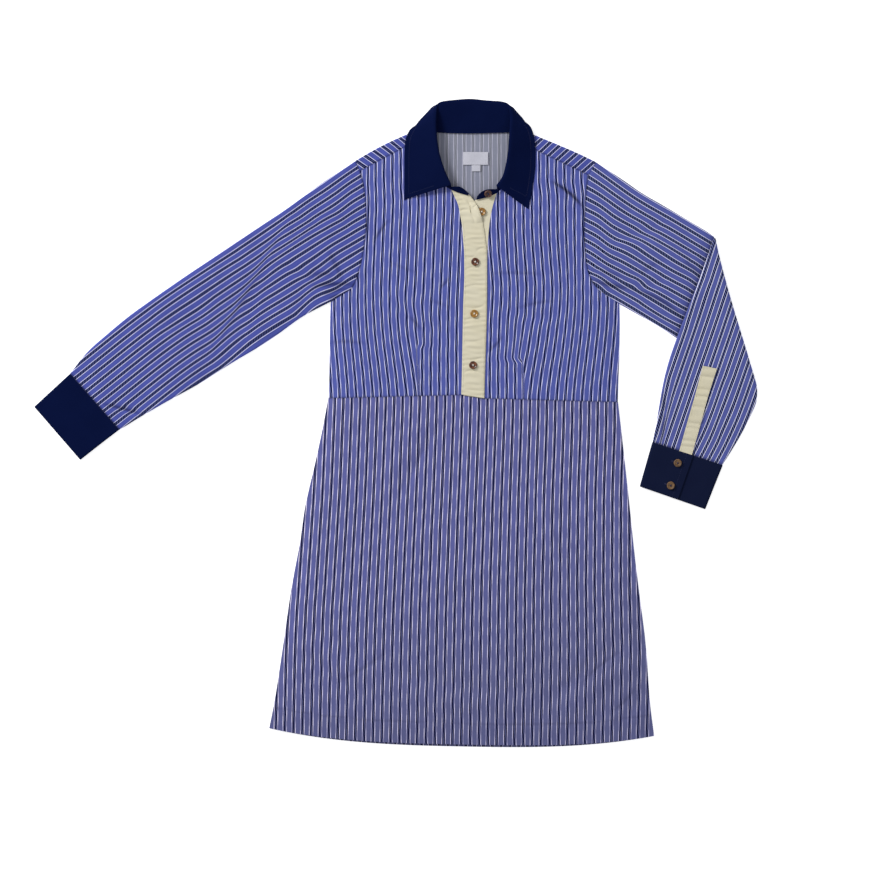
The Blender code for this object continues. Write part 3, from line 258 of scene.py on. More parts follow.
# Sharp creases
CREASES = [Fold(*row) for row in (
    (-92, 118, -72, 95, 1, 2.2, -0.9), (-118, 254, -141, 220, -2, 2.4, -0.9),
    (-33, 173, -48, 155, 1, 2.2, -0.8), (110, 309, 158, 269, 4, 2.6, -1.7), (20, 66, 43, 90, -2, 2.2, -0.8),
    (24, 177, 106, 175, 2, 2.4, -0.4), (-205, 80, -148, 77, 2, 2.6, -0.5),
    (-120, 196, -76, 178, -2, 2.4, -0.4), (60, 126, 118, 138, 3, 2.4, -0.5),
    (-66, 140, -30, 128, 1, 2.2, -0.4), (-228, 158, -166, 161, 3, 3, -1.3),
    (-212, 147, -176, 156, 2, 2.6, -1), (-206, 139, -182, 147, 2, 2.4, -0.9),
    (-236, 172, -196, 176, 3, 3.2, -0.7), (-206, 210, -184, 164, 1, 3.6, -0.7),
    (-292, 190, -364, 72, -3, 2.8, -0.5), (168, 169, 224, 156, -2, 2.8, -1.1),
    (220, 155, 300, 111, 9, 2.8, -1), (180, 178, 214, 172, 2, 2.4, -0.6), (236, 176, 268, 196, 1, 3, -0.5),
    (299, 196, 322, 176, 1, 2.8, -0.7), (268.3, 9, 271.6, -19, 1, 2.2, -1.1),
    (271.6, -19, 267, -63, 1, 2.2, -1.1), (-526, -8, -470, -22.5, 1, 2.4, -1.1),
    (-118, -356, -196, -404, 3, 2.6, -0.5), (214, -356, 150, -410, -4, 2.6, -0.6),
    (232, -410, 196, -446, 2, 2.4, -0.6), (-60, -58, -92, -118, -3, 2.6, -0.4),
    (110, -150, 138, -248, -6, 2.8, -0.4),
)]
# Pulls of the placket round the buttons and the open buttonhole
PLACKET_FOLDS = [Fold(*row) for row in (
    (-13, 182, 15, 180, 5, 1.7, -0.6), (-11, 174, 14, 171, 4, 2.3, 0.4), (-13, 205, 3, 202, -3, 1.5, -0.5),
    (4, 208, 18, 214, 2, 1.6, -0.4), (-13, 131, 17, 133, -4, 1.7, -0.5), (-13, 110, 17, 107, 5, 1.7, -0.6),
    (-12, 101, 15, 99, 4, 2.4, 0.4), (-14, 58, 15, 60, -4, 1.7, -0.5), (-14, 36, 14, 33, 5, 1.7, -0.6),
    (-15, 22, 14, 20, 2, 2.2, 0.3), (-9, 282, -4, 272, 1, 1.5, -0.5), (6, 277, -1, 270, 1, 1.4, -0.5),
    (-20, 266, -7, 268, 1, 1.4, -0.4), (-3, 262, 3, 248, 1, 1.7, -0.5), (-26, 292, -12, 278, 1, 2, -0.4),
    (-14, 245, 10, 238, 2, 2, -0.4), (-13, 226, 14, 230, 1, 1.6, 0.3), (-12, 158, 17, 160, 2, 1.6, -0.4),
    (-13, 150, 10, 148, -2, 1.8, -0.3), (-14, 82, 15, 84, -2, 1.6, -0.4), (-14, 74, 12, 72, 2, 2, 0.3),
    (-15, 12, 12, 10, 1, 1.5, -0.3),
)]
# How far the sleeves' stripes stray upwards: width to the left and right of a line, and shift
STRAYS = [Stray(*row) for row in (
    (-252, 262, -374, 52, 60, 8, 7.6), (-224, 296, -226, 190, 30, 26, 1.6),
    (-196, 262, -300, 176, 34, 10, 3.6), (-188, 266, -196, 160, 30, 26, 3),
    (-150, 112, -150, 206, 28, 28, -4), (-206, 178, -244, 112, 20, 17, 6),
    (-176, 330, -166, 214, 14, 16, 1.4), (-395, 150, -352, 40, 18, 22, -1.2),
    (156, 336, 158, 196, 15, 15, -3.5), (198, 276, 190, 168, 14, 14, -1.8),
    (242, 262, 220, 186, 18, 18, 1.4), (168, 180, 186, 150, 14, 14, 3), (238, 176, 226, 150, 9, 12, 2.4),
    (316, 214, 300, 130, 12, 18, 1.8),
)]

TAGS = [Tag("label", -14.2, 21.3, 350.0, 331.8), Tag("size_tab", -1.8, 10.5, 331.3, 322.6)]
TAB_LENGTH = 11.5  # of the size tab, with the part sewn in under the label
BUTTON_RADIUS = 5.7
BUTTONS = [Button(*row) for row in (
    ("button_stand", 21.6, 290.8, "stand", "shaded", 0.3, 31),
    ("button_under", 12.4, 265.1, "under placket", "golden", 0.2),
    ("button_front_1", 3.1, 194, "placket", "dark", 0.5),
    ("button_front_2", 1.8, 120.4, "placket", "golden", 0.1),
    ("button_front_3", 0.1, 47.3, "placket", "dark", 0.8),
    ("button_cuff_1", 290.5, -91.6, "cuff", "brown", 0.4),
    ("button_cuff_2", 280.6, -123.5, "cuff", "brown", 0.15),
)]
BUTTON_PROFILE = [  # radius and height, from the middle of the underside to that of the dish
    (0, 0.15), (2.6, 0), (4.4, 0.1), (5.3, 0.5), (5.7, 1.1), (5.66, 1.55), (5.45, 2), (5.1, 2.3), (4.7, 2.4),
    (4.3, 2.33), (3.9, 2.05), (3.5, 1.75), (3, 1.6), (1.5, 1.56), (0, 1.55),
]
BUTTON_SIDES = 48
BUTTON_GAP = 0.35  # between a button and what carries it
HOLE_RADIUS = 0.62
HOLE_PLACE = 1.35
STAND_SEAT = 9.3  # height of the collar stand under its button
SLEEVE_PLACKET_DIPS = [32.0, 14.0, 3.6, -12.0, -36.0, -43.0, -62.0, -70.0]
COLLAR_STITCH = 6.6  # between the collar's edge and its stitches
STRIP_STITCH = 0.06  # part of a placket's width outside its stitches

DART_RIGHT = Dart(-76.0, -80.5, 79.0, 15.6, -205.0, -35.8, 12.14, 6.6)
DART_LEFT = Dart(72.0, 70.3, 59.0, 19.0, 206.0, 49.0, 12.07, 0.0)
DART_START = 138.0  # height at which the stripes begin to lean
DART_RUN = 152.0

VIEW_CENTRE = (-48.28, -57.51)  # the middle of the picture, from the waist point
VIEW_WIDTH = 1.2468
CAMERA_HEIGHT = 9.0
LIGHTS = [("key", (-2.6, 2.2, 2.1), 1.2, 150.0), ("fill", (2.4, -1.6, 3.0), 3.0, 20.0)]


# Lines, grids and the lie of the cloth

def ease(value):
    """Smooth step from 0 to 1 as the value goes from 0 to 1."""
    value = np.clip(value, 0.0, 1.0)
    return value * value * (3.0 - 2.0 * value)


def bell(distance, reach):
    """1 at no distance, fading out past a reach."""
    return np.exp(-(distance / reach) ** 2)


def size(vectors):
    """Length of each vector in the last axis."""
    return np.linalg.norm(vectors, axis=-1)


def totals(steps):
    """Running totals from 0."""
    return np.concatenate([[0.0], np.cumsum(steps)])


def pick(path, run, at):
    """Points on a line at these lengths of its run."""
    return np.stack([np.interp(at, run, values) for values in np.transpose(path)], axis=-1)


def along(table, places):
    """Rows at fractional row numbers, on a cubic that keeps to each pair of neighbouring rows."""
    data = np.array(table, dtype=float)
    change = np.diff(data, axis=0)
    slope = np.zeros_like(data)
    before, after = change[:-1], change[1:]
    together = before * after > 0
    slope[1:-1][together] = (2 * before * after)[together] / (before + after)[together]
    slope[0], slope[-1] = change[0], change[-1]
    k = np.minimum(places.astype(int), len(data) - 2)
    t = (places - k)[:, None]
    return ((1 + 2 * t) * (1 - t) ** 2 * data[k] + t * (1 - t) ** 2 * slope[k]
            + t * t * (3 - 2 * t) * data[k + 1] + t * t * (t - 1) * slope[k + 1])


def even(table, count):
    """Rows at even steps through a table."""
    return along(table, np.linspace(0.0, len(table) - 1.0, count))


def spaced(table, step, ends=(0.0,)):
    """Rows about a step apart along the longer edge of a table, closer together at its two ends."""
    fine = even(table, 400)
    run = totals(size(np.diff(fine.reshape(len(fine), -1, 2), axis=0)).max(axis=1))
    places = parts(run[-1], step, ends) * run[-1]
    return along(table, np.interp(places, run, np.linspace(0.0, len(table) - 1.0, len(fine))))


def parts(width, step, ends=(0.0, 0.6, 1.3, 2.2)):
    """Parts of a width about a step apart, with closer ones next to both ends."""
    near = np.array(ends) / width
    middle = np.linspace(near[-1], 1.0 - near[-1], max(int(width / step), 2))
    return np.concatenate([near[:-1], middle, (1.0 - near[:-1])[::-1]])


def beside(x, y, x0, y0, x1, y1):
    """How far along a line each place lies, from 0 to 1, and its distance to the left of the line."""
    length = math.hypot(x1 - x0, y1 - y0)
    along_x, along_y = (x1 - x0) / length, (y1 - y0) / length
    part = ((x - x0) * along_x + (y - y0) * along_y) / length
    return np.clip(part, 0.0, 1.0), (y - y0) * along_x - (x - x0) * along_y


def left_of(x, y, start, end):
    """Distance to the left of the line from one point to another."""
    return beside(x, y, *start, *end)[1]


def fold_height(x, y, fold):
    """Height that one fold adds: a soft ridge along a bowed line, fading at both ends."""
    part, across = beside(x, y, *fold[:4])
    bow = 4.0 * fold.bow * part * (1.0 - part)
    return fold.height * bell(across - bow, fold.width) * np.sin(math.pi * part) ** 0.7


def ridges(x, y, table):
    """Height that all folds of a table add."""
    return sum(fold_height(x, y, fold) for fold in table)


def sharp(x, y):
    """Depth of the sharp creases."""
    return -ridges(x, y, CREASES)


def ripple(x, y):
    """Slight unevenness of cotton that has been ironed and laid down."""
    first = np.sin(x / 6.1 + 1.3 * np.sin(y / 47.0)) * np.sin(y / 61.0 + x / 90.0 + 0.7)
    second = np.sin(y / 9.3 + 1.7 * np.sin(x / 39.0)) * np.sin(x / 53.0 - y / 71.0)
    third = np.sin((x + 0.6 * y) / 13.7) * np.sin((y - 0.4 * x) / 34.0)
    return 0.13 * first + 0.10 * second + 0.20 * third


def lift(x, y):
    """Loft of the top cloth with its soft folds and its sharp creases."""
    loft = LOFT + ridges(x, y, FOLDS) + ripple(x, y)
    loft = np.where(loft > LEAST_LOFT, loft, LEAST_LOFT * np.exp((loft - LEAST_LOFT) / TROUGH_EASE))
    return loft - np.minimum(sharp(x, y), 0.8 * loft)


def stray(x, y):
    """How far the sleeves' stripes stray upwards."""
    total = np.zeros(np.shape(x))
    for item in STRAYS:
        part, across = beside(x, y, *item[:4])
        width = np.where(across > 0.0, item.left, item.right)
        total += item.shift * bell(across, width) * np.sin(math.pi * part)
    return total


def front_height(x, y):
    """Middle of the top cloth away from its edges."""
    return FRONT_LAYER + lift(x, y)


def side_height(x, y, rise):
    """The same near the edges, where it rises from the back's level."""
    return EDGE_LAYER + (FRONT_LAYER - EDGE_LAYER + lift(x, y)) * rise


def on_front(x, y, thickness):
    """Middle of a piece of this thickness that lies on the top cloth."""
    return front_height(x, y) + SHELL / 2 + thickness / 2 + 0.1


def level(height):
    """A height function that is the same everywhere."""
    return lambda x, y: np.full(np.shape(x), height)


def groove(distance, depth=SEAM_DEPTH, reach=SEAM_REACH):
    """Depth of the valley at this distance from a seam."""
    return -depth * bell(distance, reach)


def panel(rows, across):
    """Grid of x and y between the two edges of a table's rows."""
    left, right = rows[:, None, :2], rows[:, None, 2:]
    return left + (right - left) * np.asarray(across)[None, :, None]


def split(grid):
    """x and y of a grid."""
    return grid[..., 0], grid[..., 1]


def raised(grid, height):
    """The same grid with heights."""
    return np.dstack([grid, np.broadcast_to(height, grid.shape[:2])])


# Meshes

class Patch:
    """A grid of points of a cloth's middle, with its weave coordinates, its painted shade and its inside's
    material.
    """

    def __init__(self, points, weave, thickness=SHELL, crease=0.0, inside=1):
        rows, columns = points.shape[:2]
        number = np.arange(rows * columns).reshape(rows, columns)
        corners = [number[:-1, :-1], number[:-1, 1:], number[1:, 1:], number[1:, :-1]]
        self.points = points.reshape(-1, 3)
        self.weave = weave.reshape(-1, 2)
        self.thickness = np.broadcast_to(thickness, number.shape).ravel()
        self.crease = np.broadcast_to(crease, number.shape).ravel()
        self.inside = np.broadcast_to(inside, (rows - 1, columns - 1)).ravel()
        self.cells = np.stack(corners, axis=-1).reshape(-1, 4)


def weld(patches):
    """Number of the welded point for each point, its first one, and the cells of all patches."""
    starts = totals([len(patch.points) for patch in patches]).astype(int)
    keys = np.round(np.concatenate([patch.points for patch in patches]) / WELD).astype(np.int64)
    _, first, merged = np.unique(keys, axis=0, return_index=True, return_inverse=True)
    cells = np.concatenate([patch.cells + start for patch, start in zip(patches, starts)])
    return first, merged.ravel(), cells


def point_normals(points, corners):
    """Unit normals at the points, from the cells round each."""
    a, b, c, d = (points[corners[:, k]] for k in range(4))
    across = np.cross(c - a, d - b)
    normals = np.zeros_like(points)
    for k in range(4):
        np.add.at(normals, corners[:, k], across)
    return normals / np.maximum(size(normals), 1e-9)[:, None]


def mesh_object(name, points, faces, materials, weave=None, numbers=None, crease=None):
    """A smooth mesh object from points in millimetres, with a weave coordinate at each face corner and, if
    given, painted shade at each point.
    """
    mesh = bpy.data.meshes.new(name)
    points = np.asarray(points, dtype=float)
    mesh.from_pydata(((points + [*WAIST_POINT, 0.0]) * MM).tolist(), [], faces)
    if weave is None:
        weave = [points[corner][:2] for face in faces for corner in face]
    layer = mesh.uv_layers.new(name="weave")
    layer.data.foreach_set("uv", (np.asarray(weave, dtype=np.float32) * MM).ravel())
    if crease is not None:
        values = mesh.attributes.new("crease", "FLOAT", "POINT")
        values.data.foreach_set("value", np.asarray(crease, dtype=np.float32))
    if numbers is not None:
        mesh.polygons.foreach_set("material_index", np.asarray(numbers, dtype=np.int32))
    for item in materials:
        mesh.materials.append(item)
    mesh.shade_smooth()
    mesh.set_sharp_from_angle(angle=math.radians(50))
    mesh.update()
    made = bpy.data.objects.new(name + "_look", mesh)
    bpy.context.collection.objects.link(made)
    return made


def dress(piece, node=None):
    """Tie a piece to the frame, in its node's place if it takes it."""
    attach(piece, "root")
    if node:
        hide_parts(node)


def cloth(name, patches, fabric, facing="up"):
    """A thin closed shell round a surface, its right side up at its highest places, or down."""
    whole = {part: np.concatenate([getattr(patch, part) for patch in patches])
             for part in ("points", "thickness", "crease", "inside", "weave")}
    first, merged, cells = weld(patches)
    points, count = whole["points"][first], len(first)
    corners = merged[cells]
    normals = point_normals(points, corners)
    highest = points[:, 2] >= np.quantile(points[:, 2], 0.97) - 1e-6
    if (normals[highest, 2].mean() > 0) != (facing == "up"):
        cells, corners, normals = cells[:, ::-1], corners[:, ::-1], -normals
    away = normals * whole["thickness"][first][:, None] / 2
    shell = np.concatenate([points + away, points - away])
    shell[:, 2] = np.maximum(shell[:, 2], 0.0)
    faces, weave, numbers, edges = [], [], [], {}
    for cell, corner, inside in zip(cells.tolist(), corners.tolist(), whole["inside"]):
        kept = [k for k in range(4) if corner[k] != corner[k - 1]]
        if len(kept) < 3:
            continue
        for order, lower, number in ((kept, 0, 0), (kept[::-1], count, inside)):
            faces.append([corner[k] + lower for k in order])
            weave.extend(cell[k] for k in order)
            numbers.append(number)
        for k, after in zip(kept, kept[1:] + kept[:1]):
            pair = (corner[k], corner[after])
            if pair[::-1] in edges:
                del edges[pair[::-1]]
            else:
                edges[pair] = (cell[k], cell[after])
    for (start, end), (from_start, from_end) in edges.items():
        faces.append([end, start, start + count, end + count])
        weave.extend([from_end, from_start, from_start, from_end])
        numbers.append(0)
    crease = np.tile(whole["crease"][first], 2)
    piece = mesh_object(name, shell, faces, fabric.materials, whole["weave"][weave], numbers, crease)
    dress(piece, name)


# Materials

def linear(red, green, blue):
    """Linear colour from its usual 0 to 255 values."""
    values = [value / 255.0 for value in (red, green, blue)]
    return tuple(v / 12.92 if v <= 0.04045 else ((v + 0.055) / 1.055) ** 2.4 for v in values) + (1.0,)


class Value:
    """A number inside a shader, for sums written in the usual way."""

    def __init__(self, finish, socket):
        self.finish, self.socket = finish, socket

    def __add__(self, other):
        return self.finish.math("ADD", self, other)

    def __sub__(self, other):
        return self.finish.math("SUBTRACT", self, other)

    def __rsub__(self, other):
        return self.finish.math("SUBTRACT", other, self)

    def __mul__(self, other):
        return self.finish.math("MULTIPLY", self, other)

    def __truediv__(self, other):
        return self.finish.math("DIVIDE", self, other)


class Finish:
    """A material under construction, with short names for its nodes."""

    def __init__(self, name, roughness, specular=0.3, sheen=0.0, coat=0.0):
        self.material = bpy.data.materials.new(name)
        self.material.use_nodes = True
        self.tree = self.material.node_tree
        self.shader = self.tree.nodes["Principled BSDF"].inputs
        for socket, value in (("Roughness", roughness), ("Specular IOR Level", specular),
                              ("Sheen Weight", sheen), ("Sheen Roughness", 0.5),
                              ("Coat Weight", coat), ("Coat Roughness", 0.15)):
            self.shader[socket].default_value = value

    def put(self, socket, value):
        """Link an output to an input, or set the input's number or colour, a usual one or a linear one."""
        if isinstance(value, Value):
            value = value.socket
        if isinstance(value, bpy.types.NodeSocket):
            self.tree.links.new(value, socket)
        else:
            usual = isinstance(value, tuple) and len(value) == 3
            socket.default_value = linear(*value) if usual else value

    def node(self, kind, inputs=(), **settings):
        """Outputs of a new node with these settings and inputs."""
        node = self.tree.nodes.new("ShaderNode" + kind)
        for name, value in settings.items():
            setattr(node, name, value)
        for name, value in dict(inputs).items():
            self.put(node.inputs[name], value)
        return node.outputs

    def math(self, operation, *values):
        """An operation on numbers."""
        return Value(self, self.node("Math", enumerate(values), operation=operation)[0])

    def mix(self, part, low, high, blend="MIX"):
        """A mix of two colours."""
        colours = {"Factor": part, "A": low, "B": high}
        return self.node("Mix", colours, data_type="RGBA", blend_type=blend)["Result"]

    def weave(self):
        """The weave coordinates in millimetres, across and along the stripes."""
        place = self.node("UVMap", uv_map="weave")[0]
        split_place = self.node("SeparateXYZ", {0: place})
        return [self.math("MULTIPLY", split_place[k], 1.0 / MM) for k in range(2)]

    def noise(self, size_of_cell, detail=2.0, roughness=0.5):
        """Noise with cells of about this size in millimetres, fixed to the object."""
        inputs = {"Vector": self.node("TexCoord")["Object"], "Scale": 1.0 / MM / size_of_cell,
                  "Detail": detail, "Roughness": roughness}
        return Value(self, self.node("TexNoise", inputs)["Fac"])

    def shade(self, colour, depth):
        """A colour with painted shade: darker by this depth in the deepest creases."""
        crease = Value(self, self.node("Attribute", attribute_name="crease")["Fac"])
        return self.mix(1.0, colour, 1.0 - crease * depth, "MULTIPLY")

    def soft_step(self, value, edge, direction=1.0, reach=LINE_SOFT):
        """0 below an edge and 1 above it, or the other way round."""
        past = self.math("MULTIPLY_ADD", value - edge, direction / reach, 0.5)
        return self.math("MAXIMUM", self.math("MINIMUM", past, 1.0), 0.0)

    def threads(self, across, lengthwise, pitch):
        """Plain weave: rounded threads that pass over each other in turn."""
        warp, weft = (self.math("SINE", place * (math.tau / pitch)) for place in (across, lengthwise))
        return warp * weft

    def bump(self, height, strength, distance, onto=None):
        """Relief from a height, on top of another one."""
        inputs = {"Strength": strength, "Distance": distance * MM, "Height": height}
        if onto:
            inputs["Normal"] = onto
        return self.node("Bump", inputs)["Normal"]

    def done(self, colour, normal=None):
        """The material with this colour and relief."""
        self.put(self.shader["Base Color"], colour)
        if normal:
            self.put(self.shader["Normal"], normal)
        return self.material


def striped(name, blue, dark, dash, white, dull_white, painted_sheen_blue=None, run=0.0, pitch=0.0, slope=0.0):
    """Cotton with a dark band between two white lines.

    Over a run of mm the band's dark core crosses it from side to side, or it has slanted dashes of a
    pitch in mm.
    """
    made = Finish(name, 0.9, 0.04)
    across, lengthwise = made.weave()
    number = made.math("FLOOR", across / REPEAT + 0.5)
    signed = (across / REPEAT - number) * REPEAT
    away = made.math("ABSOLUTE", signed)
    if run:
        dark_half, line_end = DARK_HALF, LINE_END
        drift = made.noise(60.0) * 0.8 + (number * 0.22 - lengthwise / run)
        place = made.math("FRACT", drift) * CORE_PLACES
        stop = made.math("FLOOR", place)
        drift = made.math("FRACT", (stop + made.soft_step(place - stop, 0.7, 1.0, 0.6)) / CORE_PLACES)
        core = made.math("ABSOLUTE", made.math("FRACT", drift - signed / CORE_STEP) - 0.5) * CORE_STEP
        band = made.mix(made.soft_step(core, CORE_HALF, 1.0, 0.5), dark, dash)
        left, right = (made.math("COSINE", drift * math.tau - turn) * 0.5 + 0.5 for turn in (0.9, 4.7))
        on_left = made.math("LESS_THAN", signed, 0.0)
        line = made.mix(left * on_left + right * (1.0 - on_left), dull_white, white)
    else:
        dark_half, line_end = DARK_HALF + 0.2, LINE_END - 0.1
        middle = made.math("ABSOLUTE", made.math("FRACT", (signed * slope + lengthwise) / pitch) - 0.5)
        band = made.mix(made.soft_step(middle, 0.2, -1.0, 0.1), dark, dash)
        line = made.mix(made.noise(9.0), white, dull_white)
    ground = blue
    # painted sheen: towards the hem and the wearer's left the blue turns greyer, and the white lines a little
    if painted_sheen_blue:
        far = (made.noise(160.0) * -110.0 + lengthwise - across * 0.35) / -230.0 - 1.1
        ground = made.mix(far, blue, painted_sheen_blue)
        line = made.mix(far * 0.2, line, painted_sheen_blue)
    ground = made.mix(made.noise(22.0, 3.0) * 0.3, ground, dark)
    ground = made.mix(made.soft_step(away, LINE_END + 0.7, -1.0, 1.2) * 0.3, ground, dark)
    in_line = made.soft_step(away, dark_half) * made.soft_step(away, line_end, -1.0)
    colour = made.mix(in_line, made.mix(made.math("LESS_THAN", away, dark_half), ground, band), line)
    normal = made.bump(made.threads(across, lengthwise, 0.55), 0.35, 0.05)
    # painted shade in creases and seams darkens the colour
    return made.done(made.shade(colour, CREASE_SHADE), made.bump(made.noise(5.0, 3.0), 0.3, 0.4, normal))


def plain(name, colour, variation, pitch=0.6, relief=0.4):
    """Plain woven cotton with slight cloudiness."""
    made = Finish(name, 0.9, 0.04)
    cloudy = made.mix(made.noise(34.0, 3.0), colour, variation)
    fleck = made.mix(made.noise(1.3, 2.0) * 0.5, cloudy, variation)
    normal = made.bump(made.threads(*made.weave(), pitch), relief, 0.06)
    # painted shade in creases and seams darkens the colour
    return made.done(made.shade(fleck, 0.6), made.bump(made.noise(4.0, 3.0), 0.3, 0.4, normal))


def thread(name, colour):
    """Sewing thread with its twist."""
    made = Finish(name, 0.7, 0.3, 0.2)
    across, lengthwise = made.weave()
    dull = tuple(channel * 0.75 for channel in linear(*colour)[:3]) + (1.0,)
    twist = made.math("SINE", (across + lengthwise) * 9.0)
    return made.done(made.mix(made.noise(1.0), colour, dull), made.bump(twist, 0.5, 0.05))


def horn(name, light, middle, dark, gloss, coat=0.35):
    """Button of mottled, polished horn."""
    made = Finish(name, gloss, 0.4, coat=coat)
    cloud = made.noise(3.6, 4.0, 0.65)
    colour = made.mix(made.soft_step(cloud, 0.4, 1.0, 0.14), dark, middle)
    colour = made.mix(made.soft_step(cloud, 0.545, 1.0, 0.15), colour, light)
    return made.done(colour, made.bump(made.noise(0.7, 2.0), 0.2, 0.05))


DASHES = {"pitch": 2.8, "slope": -0.73}  # in the band, where it has slanted ones
WRONG_SIDE = striped("striped cotton, wrong side", (134, 137, 154), (122, 124, 136), (134, 136, 148),
                     (180, 180, 198), (164, 164, 184), run=31.0)
STRIPES, RIGHT_STRIPES, LEFT_STRIPES, FOREARM_STRIPES, SKIRT_STRIPES = (
    Fabric("striped_cotton", [made, WRONG_SIDE]) for made in (
        striped("striped cotton", (88, 98, 174), (14, 18, 60), (84, 94, 150),
                (216, 216, 255), (156, 156, 214), run=31.0),
        striped("striped cotton, right sleeve", (80, 89, 170), (4, 6, 38), (74, 82, 134),
                (224, 224, 255), (184, 184, 230), **DASHES),
        striped("striped cotton, left sleeve", (90, 98, 172), (4, 6, 38), (88, 98, 146),
                (224, 224, 255), (204, 204, 242), **DASHES),
        striped("striped cotton, forearm", (92, 100, 172), (10, 14, 50), (98, 106, 158),
                (240, 240, 255), (224, 224, 255), pitch=4.4, slope=-1.1),
        # the skirt's last colour is the greyer blue of its painted sheen
        striped("striped cotton, skirt", (101, 105, 168), (18, 20, 56), (82, 86, 128),
                (230, 224, 255), (158, 154, 194), (101, 104, 149), run=32.0),
    )
)
NAVY = Fabric("navy_cotton", [plain("navy cotton", (3, 11, 45), (6, 17, 56))])
# a greyer navy, for the left cuff
NAVY_GREY = Fabric("navy_cotton", [plain("navy cotton, worn", (14, 20, 46), (20, 27, 54))])
CREAM = Fabric("cream_cotton", [plain("cream cotton", (214, 209, 192), (209, 201, 172))])
LABEL = Fabric("woven_label", [plain("label", (206, 206, 215), (182, 182, 194), 0.45, 0.6)])
# dark cloth laid in each buttonhole's slit: painted shadow where the slit shows only shade
SLIT_SHADOW = plain("slit", (46, 40, 32), (34, 30, 26))
WHITE_THREAD = thread("white thread", (250, 248, 238))
THREADS = {  # on the cloth of each slot
    "navy_cotton": thread("navy thread", (22, 30, 78)),
    "cream_cotton": thread("cream thread", (226, 218, 190)),
    "striped_cotton": thread("blue thread", (64, 70, 130)),
}
HORNS = {
    "dark": horn("dark horn", (120, 70, 40), (70, 32, 18), (40, 18, 12), 0.25),
    "golden": horn("golden horn", (172, 128, 56), (150, 106, 42), (116, 76, 30), 0.3),
    # darker horn for the button on the collar stand, which lies in the fall's shade: painted shade
    "shaded": horn("shaded horn", (112, 76, 62), (72, 48, 44), (30, 22, 30), 0.6, 0.0),
    "brown": horn("brown horn", (122, 92, 60), (98, 72, 46), (62, 45, 30), 0.6, 0.0),
}


# Small solids and sewing

def lathe(profile, sides):
    """Points and faces of a turned closed solid."""
    points, faces, lines = [], [], []
    for radius, height in profile:
        turns = np.arange(sides if radius else 1) * math.tau / sides
        lines.append([len(points) + k for k in range(len(turns))])
        points.extend((radius * math.cos(turn), radius * math.sin(turn), height) for turn in turns)
    for low, high in zip(lines, lines[1:]):
        for k in range(sides):
            after = (k + 1) % sides
            bottom = low if len(low) == 1 else [low[k], low[after]]
            top = high if len(high) == 1 else [high[after], high[k]]
            faces.append(bottom + top)
    return points, faces


def rod(start, end, arch, radius, sides=8, rings=9):
    """Points and faces of a bent round thread with closed ends."""
    start, end, up = np.array(start), np.array(end), np.array([0.0, 0.0, 1.0])
    side = np.cross((end - start) / size(end - start), up)
    points, faces = [], []
    for part in np.linspace(0.0, 1.0, rings):
        middle = start + (end - start) * part + up * arch * math.sin(math.pi * part)
        for turn in np.arange(sides) * math.tau / sides:
            points.append(middle + radius * (side * math.cos(turn) + up * math.sin(turn)))
    for base in range(0, (rings - 1) * sides, sides):
        for k in range(sides):
            after = (k + 1) % sides
            faces.append([base + k, base + after, base + sides + after, base + sides + k])
    faces.append(list(range(sides))[::-1])
    faces.append([(rings - 1) * sides + k for k in range(sides)])
    return points, faces


def joined(solids):
    """Several point and face lists as one."""
    starts = totals([len(points) for points, _ in solids]).astype(int).tolist()
    faces = [[start + corner for corner in face] for start, (_, own) in zip(starts, solids) for face in own]
    return np.concatenate([points for points, _ in solids]), faces


def small(name, solids, finish, node=None):
    """Small closed solids as one piece."""
    points, faces = joined(solids)
    dress(mesh_object(name, points, faces, [finish]), node)


def run_of(path):
    """Length of a line up to each of its points."""
    return totals(size(np.diff(path, axis=0)))


def on_cloth(places, face):
    """Places raised to a height function."""
    return np.column_stack([places, face(*np.transpose(places))])


def edge_path(table, part, face):
    """Line down a strip at a part of its width."""
    return on_cloth(panel(spaced(table, 2.0), [part])[:, 0], face)


def thread_paths(path, length, gap):
    """Start and end of each stitch along a line of points."""
    run = run_of(path)
    count = max(int(run[-1] / (length + gap)), 1)
    at = (np.arange(count) + 0.5) * run[-1] / count
    return pick(path, run, np.stack([at - length / 2, at + length / 2], axis=1))


def stitches(name, paths, slot, length=2.3, gap=0.8, radius=0.17):
    """Machine stitches along lines on the cloth, as one piece."""
    rods = [rod(start, end, 0.1, radius, 5, 4)
            for path in paths for start, end in thread_paths(path, length, gap)]
    small(name, rods, THREADS[slot])


def buttonhole(name, x, y, turn, length, face, slot, slit_shadow_radius=0.13):
    """Slit bound with close stitches, a dark rod of painted shadow in it; it runs upright at a turn of 0."""
    upright = np.array([-math.sin(turn), math.cos(turn)])
    across = np.array([math.cos(turn), math.sin(turn)])

    def bar(at, left, right, *shape):
        ends = [np.array([x, y]) + upright * at + across * side for side in (left, right)]
        return rod(*on_cloth(ends, face), *shape)

    bars = [bar(at, 0.12 * side, side, 0.1, 0.2, 5, 4)
            for side in (-1.0, 1.0) for at in np.arange(-length / 2, length / 2, 0.42)]
    bars += [bar(side * (length / 2 + at - 0.3), -1.05, 1.05, 0.2, 0.22, 5, 4)
             for side in (-1.0, 1.0) for at in (0.0, 0.35, 0.7)]
    small(name, bars, THREADS[slot])
    slit = np.array([x, y]) + np.outer([-0.5, 0.5], upright) * (length - 1.2)
    small(name + "_slit", [rod(*on_cloth(slit, face), 0.0, slit_shadow_radius, 6, 5)], SLIT_SHADOW)


# Bodice

def paired(left, right):
    """Rows of a panel's table from its two edges."""
    return [a + b for a, b in zip(left, right)]


def dart_line(dart, y):
    """x of the dart's line at a height."""
    return dart.waist_x + (dart.tip_x - dart.waist_x) * np.clip(y / dart.tip_y, 0.0, 1.3)


